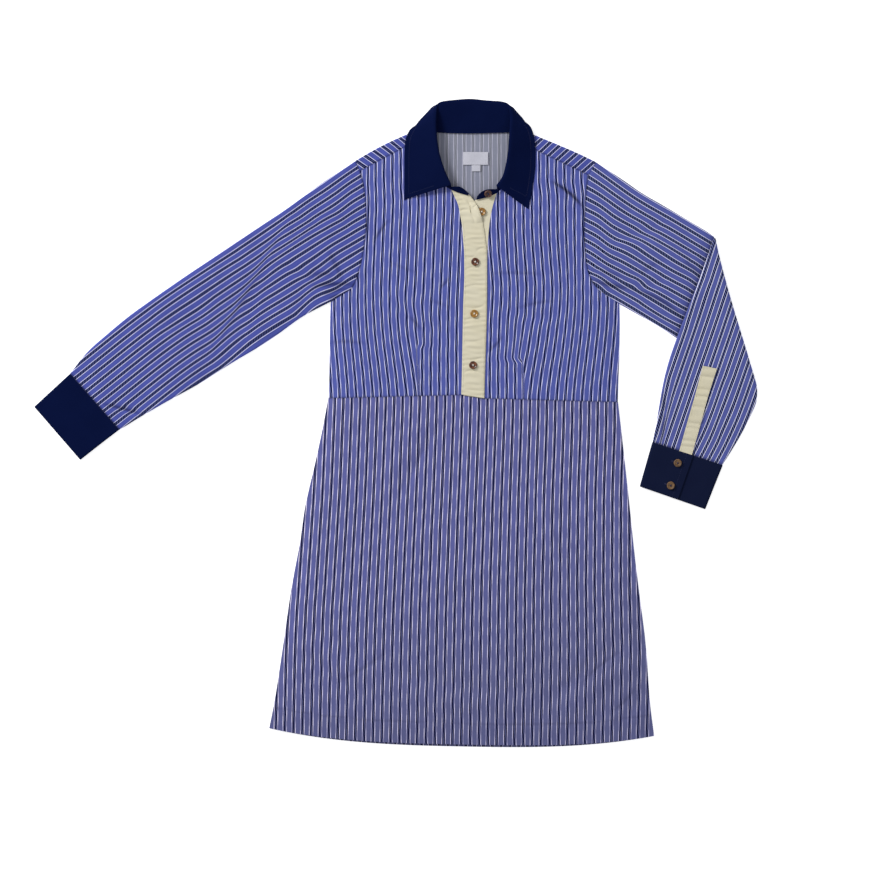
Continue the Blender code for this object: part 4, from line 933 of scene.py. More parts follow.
def bodice_weave(x, y, dart):
    """Weave coordinates of a bodice front, its stripes drawn together by the dart."""
    outward = math.copysign(1.0, dart.side)
    past = (x - dart_line(dart, y)) * outward
    closing = dart.take * ease((DART_START - y) / DART_RUN)
    outer = closing * (1.0 - 0.45 * np.clip(past / abs(dart.side - dart.waist_x), 0.0, 1.0))
    inner = closing * np.exp(np.minimum(past, 0.0) / 16.0) * (1.0 - ease((dart.tip_y - y) / 10.0))
    moved = x + outward * np.where(past > 0.0, outer, inner)
    moved = moved - dart.lean * np.clip((y - 140.0) / 156.0, 0.0, 1.3) ** 1.2
    if dart.side < 0:
        # beside the collar, over the chest, towards the armhole and under the arm
        moved = moved + 0.05 * np.maximum(y - 285.0, 0.0) * ease((-50.0 - x) / 30.0)
        moved = moved - 1.8 * ease((y - 70.0) / 110.0) * (1.0 - 0.9 * ease((y - 262.0) / 50.0))
        moved = moved - 0.085 * np.maximum(-104.0 - x, 0.0)
        moved = moved + 2.4 * bell(x + 140.0, 24.0) * ease((y - 110.0) / 60.0)
    else:
        # over the chest and inside the dart, towards the armhole, beside the shoulder
        sway = 3.2 * bell(y - 155.0, 38.0) - 1.5 * ease((y - 190.0) / 60.0)
        low = 0.9 * (1.0 - ease((y - 60.0) / 60.0)) - 2.1 * (past < 0.0) * (1.0 - ease((y - 40.0) / 50.0))
        moved = moved - (sway + low) * (1.0 - ease((x - 118.0) / 40.0))
        moved = moved + 1.6 * ease((x - 115.0) / 45.0) + 0.03 * np.maximum(x - 155.0, 0.0)
        moved = moved + 2.2 * ease((y - 285.0) / 25.0) * ease((x - 75.0) / 25.0)
    return np.stack([(moved - dart.phase) * REPEAT / dart.scale + ridges(x, y, FOLDS), y], axis=-1)


def make_bodice_front(name, outer_edge, inner_edge, dart):
    """One front, from the forward yoke seam and neckline to the waist."""
    rows = spaced(paired(outer_edge, inner_edge), FINE_STEP, (0.0, 0.8, 1.8, 3.0))
    across = parts(BODICE_WIDTH, FINE_STEP)
    grid = panel(rows, across)
    x, y = split(grid)
    from_side = across * size(rows[:, 2:] - rows[:, :2])[:, None]
    underarm = outer_edge[UNDERARM][1]
    below = ease((underarm + SIDE_DROP - y) / (2.0 * SIDE_DROP))
    rise = 1.0 - below * (1.0 - ease(from_side / SIDE_DROP))
    armhole = np.where(y > underarm, bell(from_side, SEAM_REACH), 0.0)
    seam = bell(size(grid - grid[:1]), SEAM_REACH) + bell(size(grid - grid[-1:]), SEAM_REACH) + armhole
    valley = bell(x - dart_line(dart, y), 1.6) * np.clip((dart.tip_y + 6.0 - y) / dart.tip_y, 0.0, 1.0)
    height = side_height(x, y, rise) - SEAM_DEPTH * np.minimum(seam, 1.0) - DART_DEPTH * valley
    # painted shade at the seams, the armhole, the dart's valley and the sharp creases
    crease = np.clip(0.5 * seam + 0.35 * armhole + 0.6 * valley + 0.75 * sharp(x, y), 0.0, 1.0)
    patch = Patch(raised(grid, height), bodice_weave(x, y, dart), crease=crease)
    cloth(name, [patch], STRIPES)


def make_bodice_back():
    """Bodice back, flat on the floor, its right side down."""
    right = ARMHOLE_RIGHT[BACK_YOKE_POINT:] + SIDE_RIGHT
    left = ARMHOLE_LEFT[BACK_YOKE_POINT:] + SIDE_LEFT
    grid = panel(spaced(paired(right, left), BACK_STEP), parts(BACK_WIDTH, BACK_STEP, (0.0,)))
    patch = Patch(raised(grid, FLOOR_LAYER), grid)
    cloth("bodice_back", [patch], STRIPES, "down")


# Skirt

def skirt_weave(x, y):
    """Weave coordinates of the skirt: almost upright stripes, a little closer together at the waist."""
    down = np.clip((-13.5 - y) / 454.5, -0.03, 1.03)
    scale = 12.04 + 0.53 * np.clip(down / 0.62, 0.0, 1.0)
    middle = 8.4 - 8.5 * down - 3.7 * ease(down / 0.75)
    narrower = 0.0135 * ease(down / 0.3) * (1.0 - 0.85 * ease((down - 0.55) / 0.25))
    return np.stack([(x - middle + narrower * (x + 60.0)) * REPEAT / scale, y], axis=-1)


def skirt_grid(step, ends, bow, power):
    """x and y of a skirt panel, its top along the waist seam and its hem bowed down in the middle."""
    rows = spaced(SKIRT, step, ends)
    across = parts(SKIRT_WIDTH, step)
    grid = panel(rows, across)
    down = np.linspace(0.0, 1.0, len(rows))[:, None]
    sag = np.interp(grid[0, :, 0], *np.transpose(WAIST_SEAM)) - grid[0, :, 1]
    grid[..., 1] += sag * np.clip(1.0 - down / EDGE_PART, 0.0, 1.0)
    shift = bow * (1.0 - np.abs(2.0 * across - 1.0) ** power)
    grid[..., 1] -= shift * np.clip((down - 1.0 + EDGE_PART) / EDGE_PART, 0.0, 1.0)
    return grid


def make_skirt_front():
    """A-line front, hung from the waist seam, with a turned-up hem."""
    grid = skirt_grid(GRID_STEP, TIGHT_ENDS, FRONT_HEM_BOW, 3.0)
    x, y = split(grid)
    rise = ease((x - x[:, :1]) / SIDE_DROP) * ease((x[:, -1:] - x) / SIDE_DROP)
    from_waist, from_hem = y[:1] - y, y - y[-1:]
    past_hem = from_hem - HEM - 0.5
    pucker = PUCKER * np.sin(x / 1.35 + 0.9 * np.sin(x / 17.0)) * np.exp(-from_waist / 7.0)
    hem_ridge = HEM_RIDGE * ease((0.5 - past_hem) / 2.0) + groove(past_hem, 0.25, 1.2)
    height = side_height(x, y, rise) + groove(from_waist) + (pucker + hem_ridge) * rise
    # painted shade at the waist seam, along the hem's top edge, faintly over the turned-up hem and in the
    # sharp creases
    crease = 0.5 * bell(from_waist, 1.6) + 0.24 * bell(past_hem, 1.4) + 0.06 * (from_hem < HEM)
    crease = np.clip(crease + 0.6 * sharp(x, y), 0.0, 1.0)
    points = raised(grid, height)
    hem_line = [pick(points[::-1, j], from_hem[::-1, j], HEM) for j in range(6, len(points[0]) - 6)]
    stitches("hem_stitches", [np.array(hem_line) + [0.0, 0.0, SHELL / 2]], "striped_cotton", 1.1, 4.4, 0.13)
    weave = skirt_weave(x, y)
    weave[..., 0] += 0.3 * ridges(x, y, FOLDS)
    patch = Patch(points, weave, crease=crease)
    cloth("skirt_front", [patch], SKIRT_STRIPES)


def make_skirt_back():
    """Skirt back, flat on the floor, with its turned-up hem showing past the front's."""
    grid = skirt_grid(BACK_STEP, (0.0,), BACK_HEM_BOW, 2.8)
    x, y = split(grid)
    turned = np.where((y - y[-1:])[1:, 1:] < HEM, 0, 1)
    patch = Patch(raised(grid, FLOOR_LAYER), skirt_weave(x + REPEAT / 2, y), inside=turned)
    cloth("skirt_back", [patch], SKIRT_STRIPES, "down")


# Yoke

def shoulder_normal(shoulder):
    """Unit direction out of the outline at a shoulder."""
    run = np.subtract(shoulder[-1], shoulder[0])
    return np.array([-run[1], run[0]]) / size(run)


def yoke_back(radius):
    """Grid of the yoke's flat part, from the back seam up to the shoulder folds and the neckline."""
    right, left = ARMHOLE_RIGHT[BACK_YOKE_POINT::-1], ARMHOLE_LEFT[BACK_YOKE_POINT::-1]
    shoulders = [even(shoulder, SHOULDER_POINTS) - radius * shoulder_normal(shoulder)
                 for shoulder in (SHOULDER_RIGHT, SHOULDER_LEFT)]
    top = np.concatenate([shoulders[0], even(BACK_NECK, NECK_POINTS), shoulders[1]])
    level_x = np.linspace(right[0][0], left[0][0], len(top))
    bottom = np.column_stack([level_x, np.full(len(top), right[0][1])])
    grid = bottom + (top - bottom) * np.linspace(0.0, 1.0, YOKE_LEVELS)[:, None, None]
    for column, side in ((0, right), (-1, left)):
        grid[1:-1, column] = even(side, len(grid))[1:-1]
    return grid


def yoke_forward(fold, shoulder, seam, radius, shift):
    """Grid over one shoulder and down to the forward seam, with weave coordinates as if it were unfolded."""
    normal = shoulder_normal(shoulder)
    tangent = np.array([normal[1], -normal[0]])
    forward = np.linspace(*np.array(seam), len(fold))
    points, weave, crease = [], [], []
    for turn in np.linspace(0.0, math.pi, YOKE_TURNS):
        height = np.full(len(fold), FLOOR_LAYER + radius * (1 - math.cos(turn)))
        points.append(np.column_stack([fold + normal * radius * math.sin(turn), height]))
        weave.append(fold + normal * radius * turn)
        crease.append(np.zeros(len(fold)))
    high = FLOOR_LAYER + 2 * radius
    for part in np.linspace(0.0, 1.0, YOKE_ROWS)[1:]:
        offset = (forward - fold) * part
        from_seam = size(forward - fold - offset)
        height = high + (front_height(*(fold + offset).T) - high) * ease(part) + groove(from_seam)
        points.append(np.column_stack([fold + offset, height]))
        unfolded = np.outer(radius * math.pi - offset @ normal, normal)
        weave.append(fold + np.outer(offset @ tangent, tangent) + unfolded)
        # painted shade along the forward yoke seam
        crease.append(0.75 * bell(from_seam, SEAM_REACH))
    return Patch(np.array(points), np.array(weave) + [shift, 0.0], crease=np.array(crease))


def make_yoke():
    """One piece: the back yoke on the floor, turned over the shoulders to the forward seams."""
    crest = SHOULDER_RIGHT[len(SHOULDER_RIGHT) // 2]
    radius = (float(front_height(*crest)) - FLOOR_LAYER) / 2
    grid = yoke_back(radius)
    right = yoke_forward(grid[-1, :SHOULDER_POINTS], SHOULDER_RIGHT, YOKE_SEAM_RIGHT, radius, 5.7)
    left = yoke_forward(grid[-1, -SHOULDER_POINTS:], SHOULDER_LEFT, YOKE_SEAM_LEFT, radius, 0.4)
    patches = [Patch(raised(grid, FLOOR_LAYER), grid), right, left]
    cloth("yoke", patches, RIGHT_STRIPES)


# Plackets

def placket_face(x, y):
    """Upper side of the upper placket: over the front, pulled into small folds across it."""
    cross = np.sin(y / 1.25 + 1.6 * np.sin(y / 9.0) + 0.5 * np.sin(x / 5.0)) * np.sin(y / 17.0 + x / 9.0)
    height = on_front(x, y, STRIP) + fold_height(x, y, LAP_BULGE) + 0.3 * cross + 0.5
    return height + 1.8 * ridges(x, y, PLACKET_FOLDS) + STRIP / 2


def strip(name, table, steps, across, height, thickness=STRIP):
    """A cream band between the edges of a table, its middle at a height function."""
    grid = panel(spaced(table, *steps), across)
    patch = Patch(raised(grid, height(*split(grid))), grid, thickness, inside=0)
    cloth(name, [patch], CREAM)


def make_plackets():
    """The band on the right front and the one under it."""
    across = parts(PLACKET_WIDTH, 1.3, (0.0, 0.5, 1.2))
    from_edge = np.minimum(across, 1.0 - across)[None, :] * PLACKET_WIDTH
    thin = STRIP * (0.45 + 0.55 * ease(from_edge / 1.2))
    valley = groove(from_edge - 2.0, 0.15, 0.7)
    lines = [edge_path(PLACKET_TOP, part, placket_face) for part in (STRIP_STITCH, 1.0 - STRIP_STITCH)]
    stitches("placket_stitches", lines, "cream_cotton")
    for n, button in enumerate(BUTTONS[2:5]):
        buttonhole("buttonhole_front_%d" % (n + 1), button.x, button.y - 1.0, 0.0, 12.5, placket_face,
                   "cream_cotton")
    buttonhole("buttonhole_open", -4.0, 268.5, 0.12, 10.5, placket_face, "cream_cotton", 0.3)
    strip("placket_top", PLACKET_TOP, (1.1, (0.0, 0.6)), across,
          lambda x, y: placket_face(x, y) - STRIP / 2 + valley, thin)
    table = paired(UNDER_LEFT_EDGE, INNER_LEFT[CENTRE_START:])
    across = parts(UNDER_WIDTH, 1.8, (0.0, 0.5))
    strip("placket_under", table, (1.8,), across,
          lambda x, y: front_height(x, y) + 0.12 * np.sin(y / 2.3 + x / 6.0))


# Sleeves and cuffs

def edge_parts(width, rounds, count):
    """Parts across a flattened tube, closer together in its rounded edges."""
    turn = 1.0 - np.cos(np.linspace(0.0, math.pi / 2, 6))
    left = turn * min(rounds[0], 0.4 * width) / width
    right = 1.0 - turn[::-1] * min(rounds[1], 0.4 * width) / width
    return np.concatenate([left, np.linspace(left[-1], right[0], count)[1:-1], right])


def ring(places, rounds, low, high):
    """Closed line round one section of a flattened tube, from its second edge along the floor and back."""
    width = size(places[-1] - places[0])
    half = 1.0
    for end, edge in zip((places[0], places[-1]), rounds):
        near = 1.0 - np.minimum(size(places - end) / min(edge, 0.4 * width), 1.0)
        half = half * np.sqrt(1.0 - near ** 2)
    floor, crown = low(*places.T), high(*places.T)
    half = half * (crown - floor) / 2
    bottom, top = (np.column_stack([places, (crown + floor) / 2 + side * half]) for side in (-1.0, 1.0))
    return np.concatenate([bottom[::-1], top[1:]])


def straight(row, rounds, count, inset=SHELL / 2):
    """Places across one straight section of a tube."""
    left, right = row[:2], row[2:]
    inward = inset * (right - left) / size(right - left)
    left, right = left + inward, right - inward
    return left + (right - left) * edge_parts(size(right - left), rounds, count)[:, None]


def curve_places(points, rounds, count):
    """Places along a curved section, spread as those of a straight one."""
    line = spaced(points, 1.0)
    run = run_of(line)
    width = run[-1] - SHELL
    return pick(line, run, SHELL / 2 + edge_parts(width, rounds, count) * width)


def grain(points, line):
    """Distance from a grain line, to the right of its direction, and the way along it."""
    line = even(line, 60)
    best = np.full(points.shape[:-1], np.inf)
    across, run = np.zeros_like(best), np.zeros_like(best)
    length = 0.0
    for start, end in zip(line[:-1], line[1:]):
        step = size(end - start)
        forward = (end - start) / step
        t = (points - start) @ forward
        side = (points[..., 0] - start[0]) * forward[1] - (points[..., 1] - start[1]) * forward[0]
        away = np.hypot(t - np.clip(t, 0.0, step), side)
        nearer = away < best
        best = np.where(nearer, away, best)
        across = np.where(nearer, side, across)
        run = np.where(nearer, length + t, run)
        length += step
    return across, run


def sleeve_rings(table, armhole, high, count, reach):
    """Rings of a sleeve, the first along the armhole, and straight ones from a part of the way on."""
    rows = spaced(table, FINE_STEP)
    rounds = (SLEEVE_EDGE, SLEEVE_EDGE)
    ruled_to = int(reach * len(rows))
    edge = curve_places(armhole, rounds, count)
    target = straight(rows[ruled_to], rounds, count)
    rings = []
    for n, row in enumerate(rows):
        places = straight(row, rounds, count)
        if n < ruled_to:
            ends = np.linspace(0.0, 1.0, len(places))[:, None]
            ruled = edge + (target - edge) * (n / ruled_to)
            shift = (places[0] - ruled[0]) * (1.0 - ends) + (places[-1] - ruled[-1]) * ends
            places = ruled + shift if n else edge
        slant = max(1.0 - n / ruled_to, 0.0)
        underarm = SLEEVE_EDGE + (UNDERARM_EDGE - SLEEVE_EDGE) * slant
        rings.append(ring(places, (SLEEVE_EDGE, underarm), level(FLOOR_LAYER), high))
    return np.array(rings)


def facing(rings):
    """-1 on the underside of each ring and 1 on top."""
    count = rings.shape[1]
    return np.where(np.arange(count) < (count - 1) // 2, -1.0, 1.0)


def tube_weave(rings, line, sign):
    """Weave coordinates round a tube: distance from the grain line, less than 0 on the underside."""
    across, run = grain(rings[..., :2], line)
    x, y = split(rings)
    moved = 1.2 * ridges(x, y, FOLDS) + stray(x, y)
    return np.stack([facing(rings) * (sign * across + moved), run], axis=-1)


def ring_seam(rings, depth, tucked):
    """Valley along the first ring of a sleeve. The last ones may be tucked down into the cuff. Returns
    painted shade along the seam, at the cuff's mouth and in the sharp creases.
    """
    top = rings[..., 2] > TUBE_TOP
    from_first = size(rings[..., :2] - rings[:1, :, :2])
    from_last = size(rings[..., :2] - rings[-1:, :, :2])
    seam = bell(from_first, SEAM_REACH) * top * (depth > 0)
    sunk = tucked * ease(1.0 - from_last / TUCK_RUN) * top
    rings[..., 2] -= depth * seam + np.minimum(sunk, rings[..., 2] - 1.2) * top
    # painted shade where the sleeve goes into its cuff
    mouth = bell(from_last - 2.0, 1.6) * top * (tucked > 0)
    return np.clip(0.8 * seam + 0.6 * mouth + 0.7 * sharp(*split(rings)) * top, 0.0, 1.0)


def thinned(from_rim):
    """Thickness of a band, rounded off at its rims."""
    return BAND * (0.4 + 0.6 * ease(from_rim / 1.2))


def cuff(name, points, fabric, more_paths=()):
    """A cuff from its grid, with lines of stitches inside both rims on its upper side."""
    round_it = np.cumsum(size(np.diff(points, axis=1, prepend=points[:, :1])), axis=1)
    run = size(points - points[:1])
    thickness = thinned(np.minimum(run, size(points - points[-1:])))
    patch = Patch(points, np.stack([round_it, run], axis=-1), thickness, inside=0)
    cloth(name, [patch], fabric)
    paths = []
    for part in (0.035, 0.965):
        line = pick(points.reshape(len(points), -1), np.arange(len(points)), part * (len(points) - 1))
        line = line.reshape(-1, 3)
        paths.append(line[line[:, 2] > BAND][3:-3] + [0.0, 0.0, BAND / 2])
    stitches(name + "_stitches", [*paths, *more_paths], "navy_cotton")


def make_right_sleeve():
    """Straight sleeve, a flattened tube, and its cuff."""
    rings = sleeve_rings(SLEEVE_RIGHT, ARMHOLE_RIGHT, front_height, count=66, reach=0.25)
    weave = tube_weave(rings, SLEEVE_GRAIN_RIGHT, -1.0)
    crease = ring_seam(rings, SEAM_DEPTH, TUCK)
    patch = Patch(rings, weave, crease=crease)
    cloth("sleeve_right", [patch], RIGHT_STRIPES)
    rounds = (CUFF_EDGE, CUFF_EDGE)
    rings = [ring(straight(row, rounds, 36, BAND / 2), rounds, level(BAND / 2), level(BAND / 2 + CUFF_LOFT))
             for row in spaced(CUFF_RIGHT, 3.0, (0.0, 0.5, 1.2))]
    cuff("cuff_right", np.array(rings), NAVY)


def over_upper(x, y):
    """1 where the forearm lies on the upper sleeve, falling to 0 past its lower edge."""
    inside = left_of(x, y, UPPER_LEFT[4][2:], UPPER_LEFT[-1][2:])
    return ease((inside + STEP_RUN) / (STEP_RUN - 1.5))


def forearm_low(x, y):
    """Middle of the forearm's lower cloth."""
    inside = left_of(x, y, FOREARM_LEFT[FOLD_SECTIONS][2:], FOREARM_LEFT[0][2:])
    return FLOOR_LAYER + STEP * over_upper(x, y) * ease((inside - 0.5) / (OVERLAP_EDGE - 1.0))


def forearm_high(x, y):
    """Middle of the forearm's upper cloth."""
    return FRONT_LAYER + STEP * over_upper(x, y) + lift(x, y)


def upper_high(x, y):
    """Middle of the upper sleeve's top cloth, pressed down under the forearm."""
    inside = left_of(x, y, FOREARM_LEFT[1][:2], FOREARM_LEFT[4][:2])
    covered = ease((16.0 + inside) / 14.0)
    return FRONT_LAYER + lift(x, y) * (1.0 - covered) + PRESSED * covered


def sleeve_placket_face(x, y):
    """Upper side of the sleeve placket, with its uneven cross ripples."""
    cross = np.sin(y / 1.7 + 1.3 * np.sin(y / 8.0)) * np.sin(y / 15.0 + x / 11.0)
    dips = sum(bell(y - place + 0.12 * (x - 320.0), 2.2) for place in SLEEVE_PLACKET_DIPS)
    return forearm_high(x, y) + SHELL / 2 + STRIP + 1.0 + 0.22 * cross - 1.1 * dips


def make_upper_sleeve():
    """Upper stretch of the left sleeve, with painted shadow beside the forearm."""
    rings = sleeve_rings(UPPER_LEFT, ARMHOLE_LEFT, upper_high, count=70, reach=0.35)
    weave = tube_weave(rings, SLEEVE_GRAIN_LEFT, 1.0)
    crease = ring_seam(rings, SEAM_DEPTH, 0.0)
    inside = left_of(*split(rings), FOREARM_LEFT[0][:2], FOREARM_LEFT[4][:2])
    # painted shadow on the upper sleeve along the forearm's edge
    shadow = 0.45 * bell(inside, 3.0) + 0.2 * bell(inside, 10.0)
    crease = np.clip(crease + shadow * (rings[..., 2] > TUBE_TOP), 0.0, 1.0)
    patch = Patch(rings, weave, crease=crease)
    cloth("sleeve_left_upper", [patch], LEFT_STRIPES)


def make_forearm():
    """The stretch that is folded over at the elbow, and its placket."""
    rows = spaced(FOREARM_LEFT, GRID_STEP)
    rings = []
    for place, row in zip(np.linspace(0.0, len(FOREARM_LEFT) - 1.0, len(rows)), rows):
        past = float(ease((place - FOLD_SECTIONS + 0.5) / 1.5))
        rounds = (SLEEVE_EDGE, OVERLAP_EDGE + (SLEEVE_EDGE - OVERLAP_EDGE) * past)
        rings.append(ring(straight(row, rounds, 44), rounds, forearm_low, forearm_high))
    rings = np.array(rings)
    x, y = split(rings)
    weave = tube_weave(rings, FOREARM_GRAIN, -1.0)
    outward = 0.14 * np.maximum(5.0 - y, 0.0) ** 2 / 130.0 * ease((x - 318.0 - 0.27 * y) / 10.0)
    inward = 0.1 * np.clip(30.0 - y, 0.0, 80.0) * ease((286.0 + 0.2 * y - x) / 12.0)
    weave[..., 0] += facing(rings) * (outward - inward)
    crease = ring_seam(rings, 0.0, TUCK)
    patch = Patch(rings, weave, crease=crease)
    cloth("sleeve_left_forearm", [patch], FOREARM_STRIPES)
    across = parts(SLEEVE_PLACKET_WIDTH, 1.5, (0.0, 0.5, 1.2))
    strip("sleeve_placket_left", SLEEVE_PLACKET, (1.5, (0.0, 0.6)), across,
          lambda x, y: sleeve_placket_face(x, y) - STRIP / 2)
    lines = [edge_path(SLEEVE_PLACKET, part, sleeve_placket_face) for part in (0.1, 0.9)]
    stitches("sleeve_placket_stitches", lines, "cream_cotton")


def make_left_cuff():
    """Cuff band round the forearm's end, its lap on top of its other end."""
    path = even(CUFF_PATH, 109)
    grid = panel(spaced(CUFF_LEFT, 3.0, (0.0, 0.5, 1.2)), path[:, 0])
    points = raised(grid, path[:, 1])
    cuff("cuff_left", points, NAVY_GREY, [points[:, -4] + [0.0, 0.0, BAND / 2]])
    for n, button in enumerate(BUTTONS[5:]):
        buttonhole("buttonhole_cuff_%d" % (n + 1), button.x - 2.2, button.y + 0.7, math.radians(72.0), 13.0,
                   level(CUFF_FACE), "navy_cotton")


# Collar

def unit(vector, square_to=None):
    """Unit vector of a vector, or of the part of it that is square to a unit vector."""
    if square_to is not None:
        vector = vector - square_to * np.dot(vector, square_to)
    return vector / size(vector)


def collar_sections():
    """Points across the stand and the fall at each station, from the neck over the roll to the edge."""
    table = [list(row) for row in COLLAR]
    for row in table:
        for at in COLLAR_HEIGHTS:
            row[at] = row[at] or float(on_front(row[at - 2], row[at - 1], BAND))
    rows = even(table, COLLAR_STATIONS)
    stands, falls = [], []
    for row, tangent in zip(rows, np.gradient(rows[:, 3:6], axis=0)):
        neck, roll, fold, edge = row.reshape(4, 3)
        up = unit(neck - roll, unit(tangent))
        down = unit((fold + edge) / 2 - roll, unit(tangent))
        inner = roll + ROLL_RADIUS * (unit(up + down) + unit(up - down))
        outer = roll + ROLL_RADIUS * (unit(up + down) - unit(up - down))
        seam = neck + (inner - neck) * STAND_PART
        stands.append(even([neck, (neck + seam) / 2, seam], STAND_ACROSS))
        near, far = outer * 0.67 + fold * 0.33, outer * 0.33 + fold * 0.67
        line = [seam, inner, roll, outer, near, far, fold, (fold + edge) / 2, edge]
        falls.append(even(line, FALL_ACROSS))
    return np.array(stands), np.array(falls)


def grid_weave(points):
    """Weave coordinates from the lengths of a grid's own lines."""
    across = np.cumsum(size(np.diff(points, axis=1, prepend=points[:, :1])), axis=1)
    run = np.cumsum(size(np.diff(points, axis=0, prepend=points[:1])), axis=0)
    return np.stack([across, np.broadcast_to(run.mean(axis=1, keepdims=True), across.shape)], axis=-1)


def stand_end(table, section):
    """Grid of the stand past the fall, out to its rounded end."""
    rows = even([[*section[0], *section[-1]], *table], 16).reshape(-1, 2, 3)
    return np.array([even([low, (low + high) / 2, high], STAND_ACROSS) for low, high in rows])


def collar_paths(falls):
    """Lines inside the lower and front edges of the fall, where it lies on the dress."""
    paths = []
    for side in (falls, falls[::-1]):
        sections = side[3:44, ::-1]
        line = [pick(section, run_of(section), COLLAR_STITCH) for section in sections]
        front = sections[0, :FALL_ACROSS // 2 + 1]
        kept = front[run_of(front) > COLLAR_STITCH + 1.0]
        paths.append(np.concatenate([kept[::-1], line]) + [0.0, 0.0, BAND / 2])
    return paths


def make_collar():
    """Stand round the neck and the fall that rolls over it."""
    stands, falls = collar_sections()
    right, left = stand_end(STAND_END_RIGHT, stands[0]), stand_end(STAND_END_LEFT, stands[-1])
    whole = np.concatenate([right[::-1], stands[1:-1], left])
    patch = Patch(whole, grid_weave(whole), BAND, inside=0)
    cloth("collar_stand", [patch], NAVY)
    number = np.arange(len(falls))
    from_tip = np.minimum(number, number[::-1])[:, None] * 2.4
    thickness = thinned(np.minimum(from_tip, size(falls - falls[:, -1:])))
    patch = Patch(falls, grid_weave(falls), thickness, inside=0)
    cloth("collar_fall", [patch], NAVY)
    stitches("collar_stitches", collar_paths(falls), "navy_cotton")


# Label and buttons

def make_tags():
    """Blank woven label and size tab on the inside of the back yoke."""
    for tag in TAGS:
        lines = np.linspace(tag.left, tag.right, 31), np.linspace(tag.bottom, tag.top, 19)
        grid = np.stack(np.meshgrid(*lines), axis=-1)
        x, y = split(grid)
        height = 1.8 + 0.25 * np.sin((x - tag.left) / 5.0) * np.sin((y - tag.bottom) / 6.0)
        patch = Patch(raised(grid, height), grid, TAG_CLOTH, inside=0)
        flat = ((tag.right - tag.left) * MM, max(tag.top - tag.bottom, TAB_LENGTH) * MM)
        cloth(tag.name, [patch], LABEL)


def seat_height(button):
    """Height of what carries a button, at its highest place under the button."""
    if button.seat == "stand":
        return STAND_SEAT
    if button.seat == "cuff":
        return CUFF_FACE
    turn = np.linspace(0.0, math.tau, 12)
    x, y = button.x + BUTTON_RADIUS * np.cos(turn), button.y + BUTTON_RADIUS * np.sin(turn)
    under = on_front(x, y, STRIP) if button.seat == "placket" else front_height(x, y)
    return float(np.max(under)) + STRIP / 2


def button_solid():
    """Points and faces of a button with its four holes."""
    hole, sides = lathe([(0.0, -1.0), (HOLE_RADIUS, -1.0), (HOLE_RADIUS, 4.0), (0.0, 4.0)], 16)
    turns = math.pi / 4 + np.arange(4) * math.pi / 2
    holes = [(np.array(hole) + np.array([math.cos(turn), math.sin(turn), 0.0]) * HOLE_PLACE, sides)
             for turn in turns]
    made = []
    for name, (points, faces) in (("body", lathe(BUTTON_PROFILE, BUTTON_SIDES)), ("holes", joined(holes))):
        mesh = bpy.data.meshes.new(name)
        mesh.from_pydata(np.asarray(points).tolist(), [], faces)
        made.append(bpy.data.objects.new(name, mesh))
        bpy.context.collection.objects.link(made[-1])
    body, cutter = made
    cut = body.modifiers.new("holes", "BOOLEAN")
    cut.object = cutter
    cut.operation = "DIFFERENCE"
    bpy.context.view_layer.update()
    mesh = bpy.data.meshes.new_from_object(body.evaluated_get(bpy.context.evaluated_depsgraph_get()))
    points = np.array([tuple(vert.co) for vert in mesh.vertices])
    faces = [list(face.vertices) for face in mesh.polygons]
    for item in made:
        bpy.data.objects.remove(item, do_unlink=True)
    bpy.data.meshes.remove(mesh)
    return points, faces


def button_place(button, points):
    """Points of a button from its own place to that on the dress."""
    lean, turn = math.radians(button.lean), button.turn
    x = points[:, 0] * math.cos(turn) - points[:, 1] * math.sin(turn)
    up = points[:, 0] * math.sin(turn) + points[:, 1] * math.cos(turn)
    return np.column_stack([
        button.x + x,
        button.y + up * math.cos(lean) - points[:, 2] * math.sin(lean),
        seat_height(button) + BUTTON_GAP + up * math.sin(lean) + points[:, 2] * math.cos(lean),
    ])


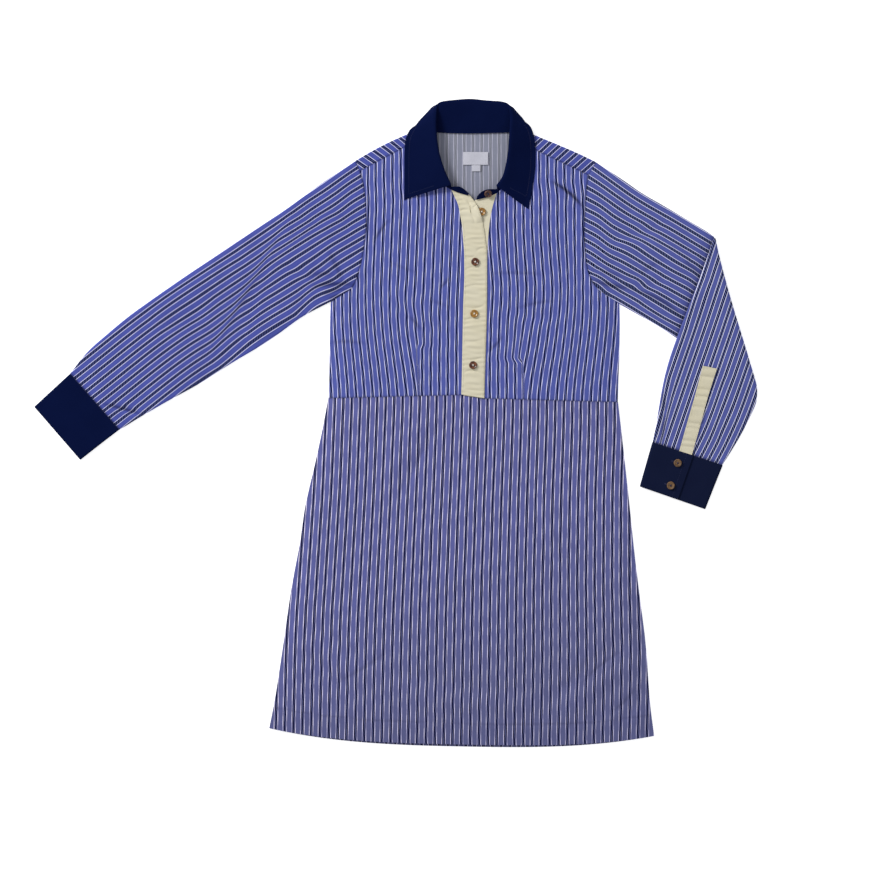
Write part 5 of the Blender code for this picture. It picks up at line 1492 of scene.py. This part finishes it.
def make_buttons():
    """Seven four-hole buttons, each sewn on with two crossed pairs of threads."""
    own, faces = button_solid()
    out = HOLE_PLACE * math.sqrt(0.5)
    strands = []
    for shift in (-0.16, 0.16):
        strands.append(rod((-out + shift, -out, 1.0), (out + shift, out, 1.0), 0.95, 0.38))
        strands.append(rod((-out, out + shift, 1.0), (out, -out + shift, 1.0), 1.15, 0.38))
    sewn, sides = joined(strands)
    for button in BUTTONS:
        body = (button_place(button, own), faces)
        small(button.name + "_body", [body], HORNS[button.finish], button.name)
        finish = THREADS["navy_cotton"] if button.seat in ("cuff", "stand") else WHITE_THREAD
        small(button.name + "_thread", [(button_place(button, sewn), sides)], finish)


# Floor, light and camera

def make_stage():
    """Pale floor, soft light and the camera straight above."""
    bpy.ops.mesh.primitive_plane_add(size=14.0, location=(0.0, 0.0, -0.0004))
    floor = bpy.context.object
    floor.name = "floor"
    made = Finish("floor", 0.9, 0.1)
    made.shader["Emission Color"].default_value = (1.0, 1.0, 1.0, 1.0)
    made.shader["Emission Strength"].default_value = 0.6
    paper = made.mix(made.noise(400.0), (0.88, 0.88, 0.88, 1.0), (0.92, 0.92, 0.92, 1.0))
    floor.data.materials.append(made.done(paper))
    for name, place, width, power in LIGHTS:
        light = bpy.data.lights.new(name, "AREA")
        light.size = width
        light.energy = power
        lamp = bpy.data.objects.new(name, light)
        lamp.location = place
        lamp.rotation_euler = (-Vector(place)).to_track_quat("-Z", "Y").to_euler()
        bpy.context.collection.objects.link(lamp)
    world = bpy.data.worlds.new("world")
    world.use_nodes = True
    sky = world.node_tree.nodes["Background"].inputs
    sky["Color"].default_value = (0.97, 0.98, 1.0, 1.0)
    sky["Strength"].default_value = 0.46
    scene = bpy.context.scene
    scene.world = world
    scene.view_settings.view_transform = "Standard"
    lens = bpy.data.cameras.new("camera")
    lens.sensor_width = 36.0
    lens.lens = lens.sensor_width * CAMERA_HEIGHT / VIEW_WIDTH
    lens.clip_end = 100.0
    camera = bpy.data.objects.new("camera", lens)
    camera.location = (*(np.add(VIEW_CENTRE, WAIST_POINT) * MM), CAMERA_HEIGHT)
    bpy.context.collection.objects.link(camera)
    scene.camera = camera


make_stage()
make_skirt_back()
make_skirt_front()
make_bodice_back()
make_bodice_front("bodice_front_right", ARMHOLE_RIGHT[1:] + SIDE_RIGHT, INNER_RIGHT, DART_RIGHT)
make_bodice_front("bodice_front_left", ARMHOLE_LEFT[1:] + SIDE_LEFT, INNER_LEFT, DART_LEFT)
make_yoke()
make_plackets()
make_right_sleeve()
make_upper_sleeve()
make_forearm()
make_left_cuff()
make_collar()
make_tags()
make_buttons()
